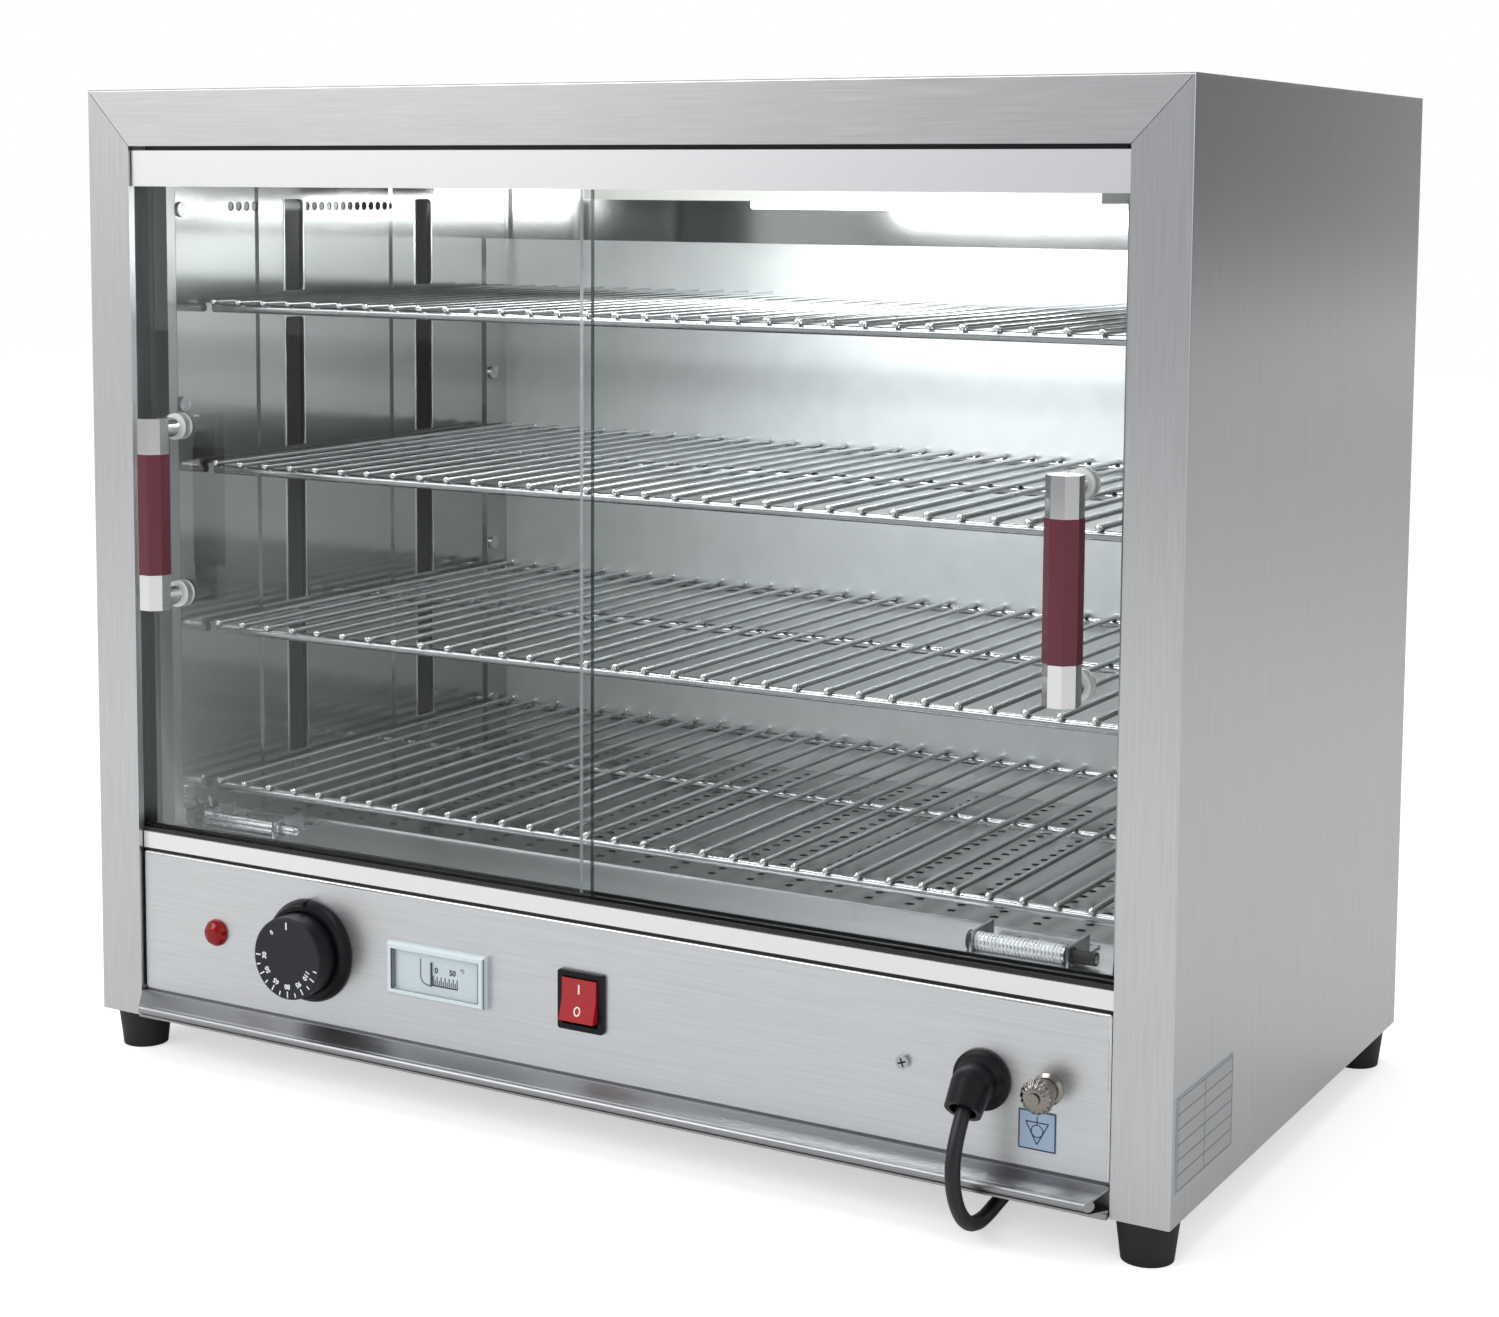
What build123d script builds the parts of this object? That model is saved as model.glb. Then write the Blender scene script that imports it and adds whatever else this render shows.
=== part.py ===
from build123d import *
from math import cos, pi, radians, sin, tan
import os

# Heated counter-top display cabinet with two sliding glass doors and four wire shelves.
# Millimetres. +X right, +Y to the back, +Z up. The origin is on the table, in the middle of the cabinet.

# Cabinet shell
body_width = 662.0
body_depth = 364.0
body_height = 534.0
sheet = 1.2
stile_width = 30.0
rail_height = 31.5
stile_return = 3.2
rail_return = 18.8
mitre_gap = 0.2
bend_radius = 1.0
flange_width = 20.0
base_flange_width = 35.0
panel_gap = 0.2

# Rubber feet
foot_height = 22.0
foot_top_radius = 15.6
foot_bottom_radius = 12.8
foot_inset = 17.2
foot_screw_radius = 2.5
foot_recess_radius = 6.0
foot_recess_depth = 10.0

# Sliding glass doors and their twin tracks
glass_thickness = 4.0
glass_top_engagement = 5.0
front_glass_setback = 6.0
track_pitch = 8.0
door_end_gap = 1.4
door_overlap = 12.0
groove_side_clearance = 0.6
groove_floor = 1.2
glass_lift = 0.3
track_front = 4.6
track_overrun = 9.4
bottom_track_height = 6.0
top_track_height = 14.0
top_groove_depth = 10.0
top_track_lift = 6.0
header_setback = 2.0
header_drop = 2.5
header_height = 20.0

# Door handles
handle_inset = 35.0
handle_bottom = 243.0
handle_length = 108.0
handle_end_length = 20.0
handle_across_flats = 17.0
grip_across_flats = 17.6
handle_standoff = 19.0
leg_radius = 5.75
leg_end_distance = 6.2
washer_radius = 7.5
washer_thickness = 1.5
handle_screw_radius = 2.5
handle_screw_head_radius = 4.5
handle_screw_head_height = 2.0
glass_hole_radius = 3.5
screw_fit = 0.05

# Control panel and the sill that carries the tracks
panel_setback = 3.0
panel_side_gap = 1.6
panel_bottom = 16.5
panel_top = 97.5
panel_fold = 11.0
sill_setback = 6.0
sill_top = 105.0
sill_depth = 89.0
sill_lip_height = 9.5
sill_lip_rise = 3.8
sill_lip_end_gap = 0.6
gutter_side_gap = 0.6
gutter_reach = 9.2
gutter_roll_radius = 2.6
gutter_roll_height = 7.6
gutter_underside = 3.0

# Inner lining
liner_inset = 39.0
liner_front = 28.3
jamb_front = 20.8
back_liner_gap = 4.8
ceiling_drop = 21.5
ceiling_lap = 35.0
liner_ledge = 12.0
vent_hole_radius = 2.8
vent_hole_pitch = 7.0
vent_hole_count = 24
vent_hole_start = 76.0
vent_hole_drop = 12.5

# Shelf supports
upright_thickness = 1.5
upright_width = 44.0
upright_starts = [99.0, 229.0]
window_offset = 23.5
window_width = 17.0
window_bridge = 8.0
window_corner = 3.0
corner_post_gap = 7.8
corner_post_width = 18.0
corner_post_thickness = 2.0
clip_length = 10.0
clip_reach = 9.0
clip_drop = 9.0

# Wire shelves
shelf_count = 4
lowest_shelf = 126.7
shelf_pitch = 94.4
shelf_side_gap = 4.0
shelf_front_rod = 56.0
shelf_middle_rod = 209.0
shelf_back_gap = 4.8
rod_radius = 2.6
wire_radius = 1.6
wire_count = 32
wire_inset = 2.0
wire_overhang = 3.2
weld_depth = 0.4

# Perforated floor plate
floor_front = 88.0
floor_thickness = 1.0
floor_hole_radius = 2.5
floor_hole_pitch_x = 24.3
floor_hole_pitch_y = 12.2
floor_hole_margin = 12.0

# Ceiling light
light_half_length = 175.0
light_front = 275.0
light_width = 50.0
light_box_height = 7.5
diffuser_left = -56.0
diffuser_height = 5.0

# Instruments in the control panel, as distance from the middle and height
instrument_height = 56.5
lamp_x = -246.0
lamp_radius = 7.8
lamp_dome = 5.5
thermostat_x = -178.0
bezel_radius = 29.0
bezel_thickness = 7.0
bezel_rim = 4.2
knob_radius = 23.0
knob_reach = 21.0
knob_clearance = 0.8
spindle_radius = 3.0
spindle_fit = 0.06
thermometer_x = -89.8
thermometer_width = 65.0
thermometer_height = 29.0
thermometer_proud = 4.5
thermometer_rim = 3.2
pointer_rest_x = -93.0
switch_x = 3.2
switch_width = 28.4
switch_height = 31.8
switch_proud = 2.2
rocker_width = 21.2
rocker_half_height = 11.3
rocker_reach = 8.2
rocker_hollow = 1.4
rocker_tilt = 9.0
rocker_clearance = 0.4
panel_screw_x = 191.0
bonding_x = 268.0
symbol_x = 262.4
symbol_height = 34.9
symbol_size = 19.4
label_thickness = 0.4
rating_front = 6.0
rating_length = 76.0
rating_bottom = 16.0
rating_height = 46.0

# Heating below the floor
element_radius = 4.0
element_height = 70.0
element_half_length = 245.0
element_gap = 50.0
element_rows = [110.0, 240.0]
element_fit = 0.05
bracket_thickness = 2.0
bracket_places = [-200.0, 0.0, 200.0]

# Temperature feelers behind the bottom track
feeler_radius = 4.2
feeler_length = 51.0
feeler_left_gap = 4.0
feeler_right_gap = 85.0
feeler_depth = 45.0
feeler_fit = 0.05

# Mains lead
cord_radius = 3.75
gland_x = 233.4
gland_height = 55.0
gland_flange_radius = 15.0
gland_hood_radius = 10.2
gland_hood_reach = 13.0
gland_mouth_reach = 13.0
gland_taper = 4.0
gland_bore_fit = 0.1
cord_first_run = 32.8
coil_outer_radius = 49.0
coil_turn_pitch = 8.2
coil_gap_behind = 12.0
tail_length = 44.0
plug_radius = 11.9
plug_length = 34.0
plug_relief_length = 24.0
plug_pin_radius = 2.4
plug_pin_length = 19.0
plug_pin_pitch = 19.0

# How far the hood of the cord gland stands in front and the screw heads behind
gland_mouth_radius = gland_hood_radius - gland_mouth_reach * tan(radians(gland_taper))
front_proud = gland_hood_reach - panel_setback + (gland_mouth_reach + gland_mouth_radius) * cos(radians(45))
back_proud = 1.6
front_face = -(body_depth + back_proud - front_proud) / 2

half_width = body_width / 2
opening_half_width = half_width - stile_width
panel_half_width = opening_half_width - panel_side_gap
gutter_half_width = opening_half_width - gutter_side_gap
track_half_length = opening_half_width + track_overrun
door_outer_edge = track_half_length - door_end_gap
liner_half_width = half_width - liner_inset
shelf_half_width = liner_half_width - shelf_side_gap
feeler_ends = [-liner_half_width + feeler_left_gap, liner_half_width - feeler_right_gap]
back_liner_face = body_depth - 2 * sheet - back_liner_gap
corner_post_front = back_liner_face - corner_post_gap - corner_post_width
shelf_rods = [shelf_front_rod, shelf_middle_rod, back_liner_face - shelf_back_gap]
rail_bottom = body_height - rail_height
header_top = rail_bottom - header_drop
header_bottom = header_top - header_height
top_track_bottom = header_bottom + top_track_lift
ceiling_height = rail_bottom - ceiling_drop
vent_hole_height = ceiling_height - vent_hole_drop
rear_glass_setback = front_glass_setback + track_pitch
glass_bottom = sill_top + groove_floor + glass_lift
glass_height = top_track_bottom + glass_top_engagement - glass_bottom
handle_x = door_outer_edge - handle_inset
shelf_levels = [lowest_shelf + i * shelf_pitch for i in range(shelf_count)]
wire_level = rod_radius + wire_radius - weld_depth
wire_spacing = 2 * (shelf_half_width - wire_inset) / (wire_count - 1)

os.makedirs("parts", exist_ok=True)


def behind(distance):
    """Y of a point this far behind the front face of the cabinet."""
    return front_face + distance


def above(height):
    """Z of a point this far above the underside of the cabinet."""
    return foot_height + height


def across(reach):
    """The same reach to the left and to the right of the middle."""
    return (-reach, reach)


def block(x_range, depth_range, height_range, mode=Mode.ADD):
    """A box between two places across, two distances behind the front and two heights."""
    width = abs(x_range[1] - x_range[0])
    depth = depth_range[1] - depth_range[0]
    height = height_range[1] - height_range[0]
    middle = (sum(x_range) / 2, behind(sum(depth_range) / 2), above(sum(height_range) / 2))
    with Locations(middle):
        Box(width, depth, height, mode=mode)


def bar_across(x_range, depth, height, radius, mode=Mode.ADD):
    """A round bar along X."""
    with Locations((sum(x_range) / 2, behind(depth), above(height))):
        Cylinder(radius, abs(x_range[1] - x_range[0]), rotation=(0, 90, 0), mode=mode)


def bar_back(x, depth_range, height, radius, mode=Mode.ADD):
    """A round bar along Y."""
    with Locations((x, behind(sum(depth_range) / 2), above(height))):
        Cylinder(radius, depth_range[1] - depth_range[0], rotation=(90, 0, 0), mode=mode)


def bar_up(x, depth, height_range, radius, mode=Mode.ADD):
    """A round bar along Z."""
    with Locations((x, behind(depth), above(sum(height_range) / 2))):
        Cylinder(radius, height_range[1] - height_range[0], mode=mode)


def section(points, x_range, mode=Mode.ADD):
    """A cross section of (distance behind the front, height) points, drawn out along X."""
    with BuildSketch(Plane.YZ.offset(x_range[0])) as profile:
        with BuildLine():
            Polyline(*[(behind(depth), above(height)) for depth, height in points], close=True)
        make_face()
    extrude(profile.sketch, amount=x_range[1] - x_range[0], mode=mode)


def turned(x, height, points, mode=Mode.ADD):
    """A round piece about an axis along Y. Each point is (radius, distance behind the front)."""
    with BuildSketch(Plane((x, 0, above(height)), x_dir=(1, 0, 0), z_dir=(0, 0, 1))) as profile:
        with BuildLine():
            Polyline(*[(radius, behind(depth)) for radius, depth in points], close=True)
        make_face()
    revolve(profile.sketch, axis=Axis((x, 0, above(height)), (0, 1, 0)), mode=mode)


def save(piece, name):
    """Label a finished piece and write it under its own name."""
    piece.part.label = name
    export_step(piece.part, f"parts/{name}.step")


def mitre_cut(side):
    """Cut a stile or rail back from the slanting joint in an upper front corner."""
    slope = rail_height / stile_width
    low = rail_bottom - mitre_gap
    with BuildSketch(Plane.XZ.offset(-behind(sheet))) as corner:
        with BuildLine():
            Polyline(
                (side * (opening_half_width - sheet), above(low - sheet * slope)),
                (side * (half_width + sheet), above(low + (stile_width + sheet) * slope)),
                (side * (half_width + sheet), above(body_height + sheet)),
                (side * (opening_half_width - sheet), above(body_height + sheet)),
                close=True,
            )
        make_face()
    extrude(corner.sketch, amount=2 * sheet, mode=Mode.SUBTRACT)


def side_panel(side):
    """Side sheet with the front stile, the base flange and the rear flange folded from it."""
    outer = side * half_width
    inner = side * (half_width - sheet)
    with BuildPart() as panel:
        block((inner, outer), (0, body_depth), (0, body_height - sheet))
        block((side * opening_half_width, outer), (0, sheet), (0, body_height - sheet))
        front_edges = panel.edges().filter_by(Axis.Z).group_by(Axis.Y)[0]
        fillet(front_edges.sort_by(Axis.X)[-1 if side > 0 else 0], bend_radius)
        mitre_cut(side)
        block(
            (side * opening_half_width, side * (opening_half_width + sheet)),
            (sheet, sheet + stile_return),
            (0, rail_bottom),
        )
        block(
            (side * (half_width - base_flange_width), inner),
            (sheet, body_depth - sheet),
            (0, sheet),
        )
        block(
            (side * (half_width - sheet - flange_width), inner),
            (body_depth - 2 * sheet, body_depth - sheet),
            (sheet, body_height - sheet),
        )
        for depth in (foot_inset, body_depth - foot_inset):
            bar_up(
                side * (half_width - foot_inset),
                depth,
                (-sheet, 2 * sheet),
                foot_screw_radius + screw_fit,
                Mode.SUBTRACT,
            )
    return panel


save(side_panel(-1), "left_side_panel")
save(side_panel(1), "right_side_panel")

# Top sheet with the front rail folded down between the mitres
mitre_top = opening_half_width + (rail_height - sheet) * stile_width / rail_height
with BuildPart() as top_panel:
    block(across(half_width), (0, body_depth), (body_height - sheet, body_height))
    with BuildSketch(Plane.XZ.offset(-behind(sheet))):
        with BuildLine():
            Polyline(
                (-opening_half_width + mitre_gap, above(rail_bottom)),
                (opening_half_width - mitre_gap, above(rail_bottom)),
                (mitre_top - mitre_gap, above(body_height - sheet)),
                (-mitre_top + mitre_gap, above(body_height - sheet)),
                close=True,
            )
        make_face()
    extrude(amount=sheet)
    top_edges = top_panel.edges().filter_by(Axis.X).group_by(Axis.Y)[0]
    fillet(top_edges.sort_by(Axis.Z)[-1], bend_radius)
    block(
        (-opening_half_width + 2 * mitre_gap, opening_half_width - 2 * mitre_gap),
        (sheet, sheet + rail_return),
        (rail_bottom, rail_bottom + sheet),
    )
    block(
        (-half_width + 2 * sheet + flange_width, half_width - 2 * sheet - flange_width),
        (body_depth - 2 * sheet, body_depth - sheet),
        (body_height - sheet - flange_width, body_height - sheet),
    )
save(top_panel, "top_panel")

# Plain back sheet, screwed to the rear flanges of the sides
with BuildPart() as back_panel:
    block(
        (-half_width + sheet + panel_gap, half_width - sheet - panel_gap),
        (body_depth - sheet, body_depth),
        (panel_gap, body_height - sheet - panel_gap),
    )
save(back_panel, "back_panel")

# Base pan on the base flanges, with a front fold that carries the control panel
pan_front = panel_setback + sheet + 1.0
with BuildPart() as base_pan:
    block(
        (-half_width + sheet + panel_gap, half_width - sheet - panel_gap),
        (pan_front, body_depth - 2 * sheet - panel_gap),
        (sheet, 2 * sheet),
    )
    block(across(opening_half_width), (pan_front, pan_front + sheet), (sheet, panel_bottom))
    for side in (-1, 1):
        for depth in (foot_inset, body_depth - foot_inset):
            bar_up(
                side * (half_width - foot_inset),
                depth,
                (0, 3 * sheet),
                foot_screw_radius + screw_fit,
                Mode.SUBTRACT,
            )
save(base_pan, "base_pan")

# Crumb gutter along the foot of the panel: a sloping face that ends in a rolled edge
gutter_top = panel_bottom - 1.2
with BuildPart() as front_gutter:
    block(across(gutter_half_width), (pan_front - sheet, pan_front), (gutter_underside, gutter_top))
    section(
        [
            (pan_front, gutter_top),
            (0, gutter_top),
            (-gutter_reach, gutter_roll_height + gutter_roll_radius),
            (-gutter_reach, gutter_roll_height + gutter_roll_radius - sheet),
            (0, gutter_top - sheet),
            (pan_front, gutter_top - sheet),
        ],
        across(gutter_half_width),
    )
    bar_across(across(gutter_half_width), -gutter_reach, gutter_roll_height, gutter_roll_radius)
    block(
        across(gutter_half_width),
        (-gutter_reach, pan_front),
        (gutter_underside, gutter_underside + sheet),
    )
    gutter_nose = gutter_reach + gutter_roll_radius
    for side in (-1, 1):
        with BuildSketch(Plane.XY.offset(above(0))):
            with BuildLine():
                Polyline(
                    (side * (gutter_half_width + 1), behind(0)),
                    (side * gutter_half_width, behind(0)),
                    (side * (gutter_half_width - gutter_nose * 0.7), behind(-gutter_nose - 1)),
                    (side * (gutter_half_width + 1), behind(-gutter_nose - 1)),
                    close=True,
                )
            make_face()
        extrude(amount=panel_bottom, mode=Mode.SUBTRACT)
        block(
            (side * (gutter_half_width - 14), side * gutter_half_width),
            (-3.0, 0.6),
            (0.2, gutter_underside),
        )
save(front_gutter, "front_gutter")

# Rubber feet, tapered, each with a recess for its screw
foot_places = [
    (side * (half_width - foot_inset), depth)
    for side in (-1, 1)
    for depth in (foot_inset, body_depth - foot_inset)
]
with BuildPart() as rubber_feet:
    for x, depth in foot_places:
        with Locations((x, behind(depth), foot_height / 2)):
            Cone(foot_bottom_radius, foot_top_radius, foot_height)
        bar_up(x, depth, (-foot_height, -foot_height + foot_recess_depth), foot_recess_radius, Mode.SUBTRACT)
        bar_up(x, depth, (-foot_height, 0), foot_screw_radius + screw_fit, Mode.SUBTRACT)
save(rubber_feet, "rubber_feet")

# Control panel: a folded tray with cut-outs for the instruments
gland_hole_radius = 9.0
lamp_neck_radius = 5.0
bonding_stud_radius = 3.0
panel_screw_radius = 1.8
switch_body_width = switch_width - 3.0
switch_body_height = switch_height - 3.0
with BuildPart() as control_panel:
    block(across(panel_half_width), (panel_setback, panel_setback + sheet), (panel_bottom, panel_top))
    fillet(control_panel.edges().filter_by(Axis.Y), 1.5)
    folds = (panel_setback + sheet, panel_setback + panel_fold)
    block((-panel_half_width + 1.5, panel_half_width - 1.5), folds, (panel_top - sheet, panel_top))
    block((-panel_half_width + 1.5, panel_half_width - 1.5), folds, (panel_bottom, panel_bottom + sheet))
    for side in (-1, 1):
        block(
            (side * (panel_half_width - sheet), side * panel_half_width),
            folds,
            (panel_bottom + 1.5, panel_top - 1.5),
        )
    through = (panel_setback - 1, panel_setback + sheet + 1)
    bar_back(lamp_x, through, instrument_height, lamp_neck_radius, Mode.SUBTRACT)
    bar_back(thermostat_x, through, instrument_height, spindle_radius + 2, Mode.SUBTRACT)
    bar_back(panel_screw_x, through, instrument_height, panel_screw_radius + screw_fit, Mode.SUBTRACT)
    bar_back(gland_x, through, gland_height, gland_hole_radius, Mode.SUBTRACT)
    bar_back(bonding_x, through, instrument_height, bonding_stud_radius + screw_fit, Mode.SUBTRACT)
    block(
        (
            thermometer_x - thermometer_width / 2 + thermometer_rim,
            thermometer_x + thermometer_width / 2 - thermometer_rim,
        ),
        through,
        (
            instrument_height - thermometer_height / 2 + thermometer_rim,
            instrument_height + thermometer_height / 2 - thermometer_rim,
        ),
        Mode.SUBTRACT,
    )
    block(
        (switch_x - switch_body_width / 2, switch_x + switch_body_width / 2),
        through,
        (instrument_height - switch_body_height / 2, instrument_height + switch_body_height / 2),
        Mode.SUBTRACT,
    )
save(control_panel, "control_panel")

# Sill: stands on the fold of the control panel and carries the track and the feelers. Its lip covers
# the lower half of the track.
with BuildPart() as door_sill:
    lip = (track_front - sheet, track_front)
    lip_top = sill_top + sill_lip_rise
    lip_half_length = opening_half_width - sill_lip_end_gap
    block(across(lip_half_length), lip, (lip_top - sill_lip_height, lip_top))
    block(across(lip_half_length), (track_front, sill_setback), (sill_top - sheet, sill_top))
    block(across(track_half_length), (sill_setback, sill_setback + sheet), (panel_top, sill_top))
    block(
        across(track_half_length),
        (sill_setback, sill_setback + sill_depth),
        (sill_top - sheet, sill_top),
    )
save(door_sill, "door_sill")

# Twin tracks: each groove is wider than the glass by the clearance on both sides
track_back = rear_glass_setback + glass_thickness + groove_side_clearance + 1.2
grooves = [
    (setback - groove_side_clearance, setback + glass_thickness + groove_side_clearance)
    for setback in (front_glass_setback, rear_glass_setback)
]
with BuildPart() as bottom_track:
    block(
        across(track_half_length),
        (track_front, track_back),
        (sill_top, sill_top + bottom_track_height),
    )
    for groove in grooves:
        block(
            across(track_half_length),
            groove,
            (sill_top + groove_floor, sill_top + bottom_track_height),
            Mode.SUBTRACT,
        )
save(bottom_track, "bottom_track")

with BuildPart() as top_track:
    top_track_top = top_track_bottom + top_track_height
    block(across(track_half_length), (track_front, track_back), (top_track_bottom, top_track_top))
    for groove in grooves:
        block(
            across(track_half_length),
            groove,
            (top_track_bottom, top_track_bottom + top_groove_depth),
            Mode.SUBTRACT,
        )
    rib_half_length = opening_half_width - 4 * sheet
    block(across(rib_half_length), (track_front + 4, track_back - 4), (top_track_top, rail_bottom))
save(top_track, "top_track")

# Polished header strip in front of the top track
with BuildPart() as header_strip:
    header_half_width = opening_half_width - 0.6
    header_back = header_setback + sheet
    block(across(header_half_width), (header_setback, header_back), (header_bottom, header_top))
    block(across(header_half_width), (header_back, track_front), (header_top - sheet, header_top))
    block(across(header_half_width), (header_back, track_front), (header_bottom, header_bottom + sheet))
save(header_strip, "header_strip")

# Door jambs: one folded strip on each side closes the gap between stile and lining
with BuildPart() as door_jambs:
    for side in (-1, 1):
        stop = track_half_length + 0.4
        jamb_top = header_top
        block((side * stop, side * (stop + sheet)), (track_front, jamb_front), (sill_top, jamb_top))
        block(
            (side * liner_half_width, side * (half_width - sheet)),
            (jamb_front, jamb_front + sheet),
            (sill_top, jamb_top),
        )
        block(
            (side * liner_half_width, side * (liner_half_width + sheet)),
            (jamb_front + sheet, liner_front - 0.3),
            (sill_top, ceiling_height),
        )
save(door_jambs, "door_jambs")


def windows():
    """Places of the air windows between the shelf bridges: (distance behind, low, high)."""
    bridges = [sill_top + 4] + [level for level in shelf_levels] + [ceiling_height]
    places = []
    for start in upright_starts:
        middle = start + window_offset + window_width / 2
        for low, high in zip(bridges[:-1], bridges[1:]):
            if high - low > 3 * window_bridge:
                places.append((middle, low + window_bridge, high - window_bridge))
    return places


def cut_windows(x_range):
    """Cut the tall windows with rounded corners through a lining sheet or an upright."""
    with BuildSketch(Plane.YZ.offset(x_range[0])) as openings:
        for middle, low, high in windows():
            with Locations((behind(middle), above((low + high) / 2))):
                RectangleRounded(window_width, high - low, window_corner)
    extrude(openings.sketch, amount=x_range[1] - x_range[0], mode=Mode.SUBTRACT)


def side_liner(side):
    """Polished side lining with a ledge for the floor plate, air windows and a row of vent holes."""
    inner = side * liner_half_width
    outer = side * (liner_half_width + sheet)
    reach = sorted((inner - side, outer + side))
    with BuildPart() as liner:
        block((inner, outer), (liner_front, back_liner_face), (sill_top, ceiling_height))
        block(
            (side * (liner_half_width - liner_ledge), outer),
            (sill_setback + sill_depth + 0.3, back_liner_face),
            (sill_top - sheet, sill_top),
        )
        cut_windows(reach)
        with BuildSketch(Plane.YZ.offset(reach[0])):
            for i in range(vent_hole_count):
                with Locations((behind(vent_hole_start + i * vent_hole_pitch), above(vent_hole_height))):
                    Circle(vent_hole_radius)
        extrude(amount=reach[1] - reach[0], mode=Mode.SUBTRACT)
    return liner


save(side_liner(-1), "left_liner")
save(side_liner(1), "right_liner")

with BuildPart() as back_liner:
    block(
        (-liner_half_width - sheet, liner_half_width + sheet),
        (back_liner_face, back_liner_face + sheet),
        (sill_top - sheet, ceiling_height + sheet),
    )
save(back_liner, "back_liner")

# Ceiling lining, folded up at the front and lapped over the back lining
with BuildPart() as ceiling_liner:
    ceiling_half = liner_half_width + sheet
    ceiling_front = jamb_front + sheet
    block(across(ceiling_half), (ceiling_front, back_liner_face), (ceiling_height, ceiling_height + sheet))
    block(across(ceiling_half), (ceiling_front, ceiling_front + sheet), (ceiling_height, rail_bottom))
    block(
        (-liner_half_width + 0.3, liner_half_width - 0.3),
        (back_liner_face - sheet, back_liner_face),
        (ceiling_height - ceiling_lap, ceiling_height),
    )
save(ceiling_liner, "ceiling_liner")

# Uprights on the side linings, with the same windows, and posts in the back corners
upright_bottom = sill_top + floor_thickness + 0.3
with BuildPart() as shelf_uprights:
    for side in (-1, 1):
        face = side * (liner_half_width - upright_thickness)
        wall = side * liner_half_width
        for start in upright_starts:
            block((face, wall), (start, start + upright_width), (upright_bottom, ceiling_height - 0.3))
        cut_windows(sorted((face - side, wall)))
        block(
            (side * (liner_half_width - corner_post_thickness), side * liner_half_width),
            (corner_post_front, corner_post_front + corner_post_width),
            (upright_bottom, ceiling_height - 0.3),
        )
save(shelf_uprights, "shelf_uprights")

# Shelf clips: small angles on the bridges of the uprights, under the outer wires
with BuildPart() as shelf_clips:
    for side in (-1, 1):
        face = liner_half_width - upright_thickness
        for start in upright_starts:
            middle = start + window_offset + window_width / 2
            span = (middle - clip_length / 2, middle + clip_length / 2)
            for level in shelf_levels:
                seat = level + wire_level - wire_radius - 0.05
                block((side * (face - clip_reach), side * face), span, (seat - sheet, seat))
                block((side * (face - sheet), side * face), span, (seat - clip_drop, seat - sheet))
save(shelf_clips, "shelf_clips")


def wire_shelf(level):
    """Three rods across with wires laid over them, welded where they cross."""
    with BuildPart() as shelf:
        for depth in shelf_rods:
            bar_across(across(shelf_half_width), depth, level, rod_radius)
        reach = (shelf_rods[0] - wire_overhang, shelf_rods[-1] + wire_overhang)
        middle = (reach[0] + reach[1]) / 2
        with Locations((0, behind(middle), above(level + wire_level))):
            with GridLocations(wire_spacing, 1, wire_count, 1):
                Cylinder(wire_radius, reach[1] - reach[0], rotation=(90, 0, 0))
    return shelf


for number, level in enumerate(reversed(shelf_levels), 1):
    save(wire_shelf(level), f"shelf_{number}")

# Perforated floor plate over the heaters, resting on the sill and the ledges of the lining
floor_half_width = liner_half_width - 0.8
floor_back = back_liner_face - 0.8
hole_columns = int((2 * floor_half_width - 2 * floor_hole_margin) / floor_hole_pitch_x) + 1
hole_rows = int((floor_back - floor_front - 2 * floor_hole_margin) / floor_hole_pitch_y) + 1
with BuildPart() as floor_plate:
    floor_middle = (floor_front + floor_back) / 2
    with BuildSketch(Plane.XY.offset(above(sill_top))):
        with Locations((0, behind(floor_middle))):
            Rectangle(2 * floor_half_width, floor_back - floor_front)
            with GridLocations(floor_hole_pitch_x, floor_hole_pitch_y, hole_columns, hole_rows):
                Circle(floor_hole_radius, mode=Mode.SUBTRACT)
    extrude(amount=floor_thickness)
save(floor_plate, "floor_plate")


def door_glass(side, setback):
    """Toughened pane with polished edges and two holes for the handle screws."""
    edges = sorted((side * door_outer_edge, -side * door_overlap / 2))
    with BuildPart() as pane:
        block(edges, (setback, setback + glass_thickness), (glass_bottom, glass_bottom + glass_height))
        chamfer(pane.edges().filter_by(Axis.Z), 0.4)
        for height in (handle_bottom + leg_end_distance, handle_bottom + handle_length - leg_end_distance):
            through = (setback - 1, setback + glass_thickness + 1)
            bar_back(side * handle_x, through, height, glass_hole_radius, Mode.SUBTRACT)
    return pane


def octagon(x, setback, low, high, across):
    """Upright octagonal bar, its flat sides facing front and back."""
    corner_radius = across / 2 / cos(pi / 8)
    with BuildSketch(Plane((x, behind(setback), above(low)))) as outline:
        RegularPolygon(corner_radius, 8, rotation=180 / 8)
    extrude(outline.sketch, amount=high - low)


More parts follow.
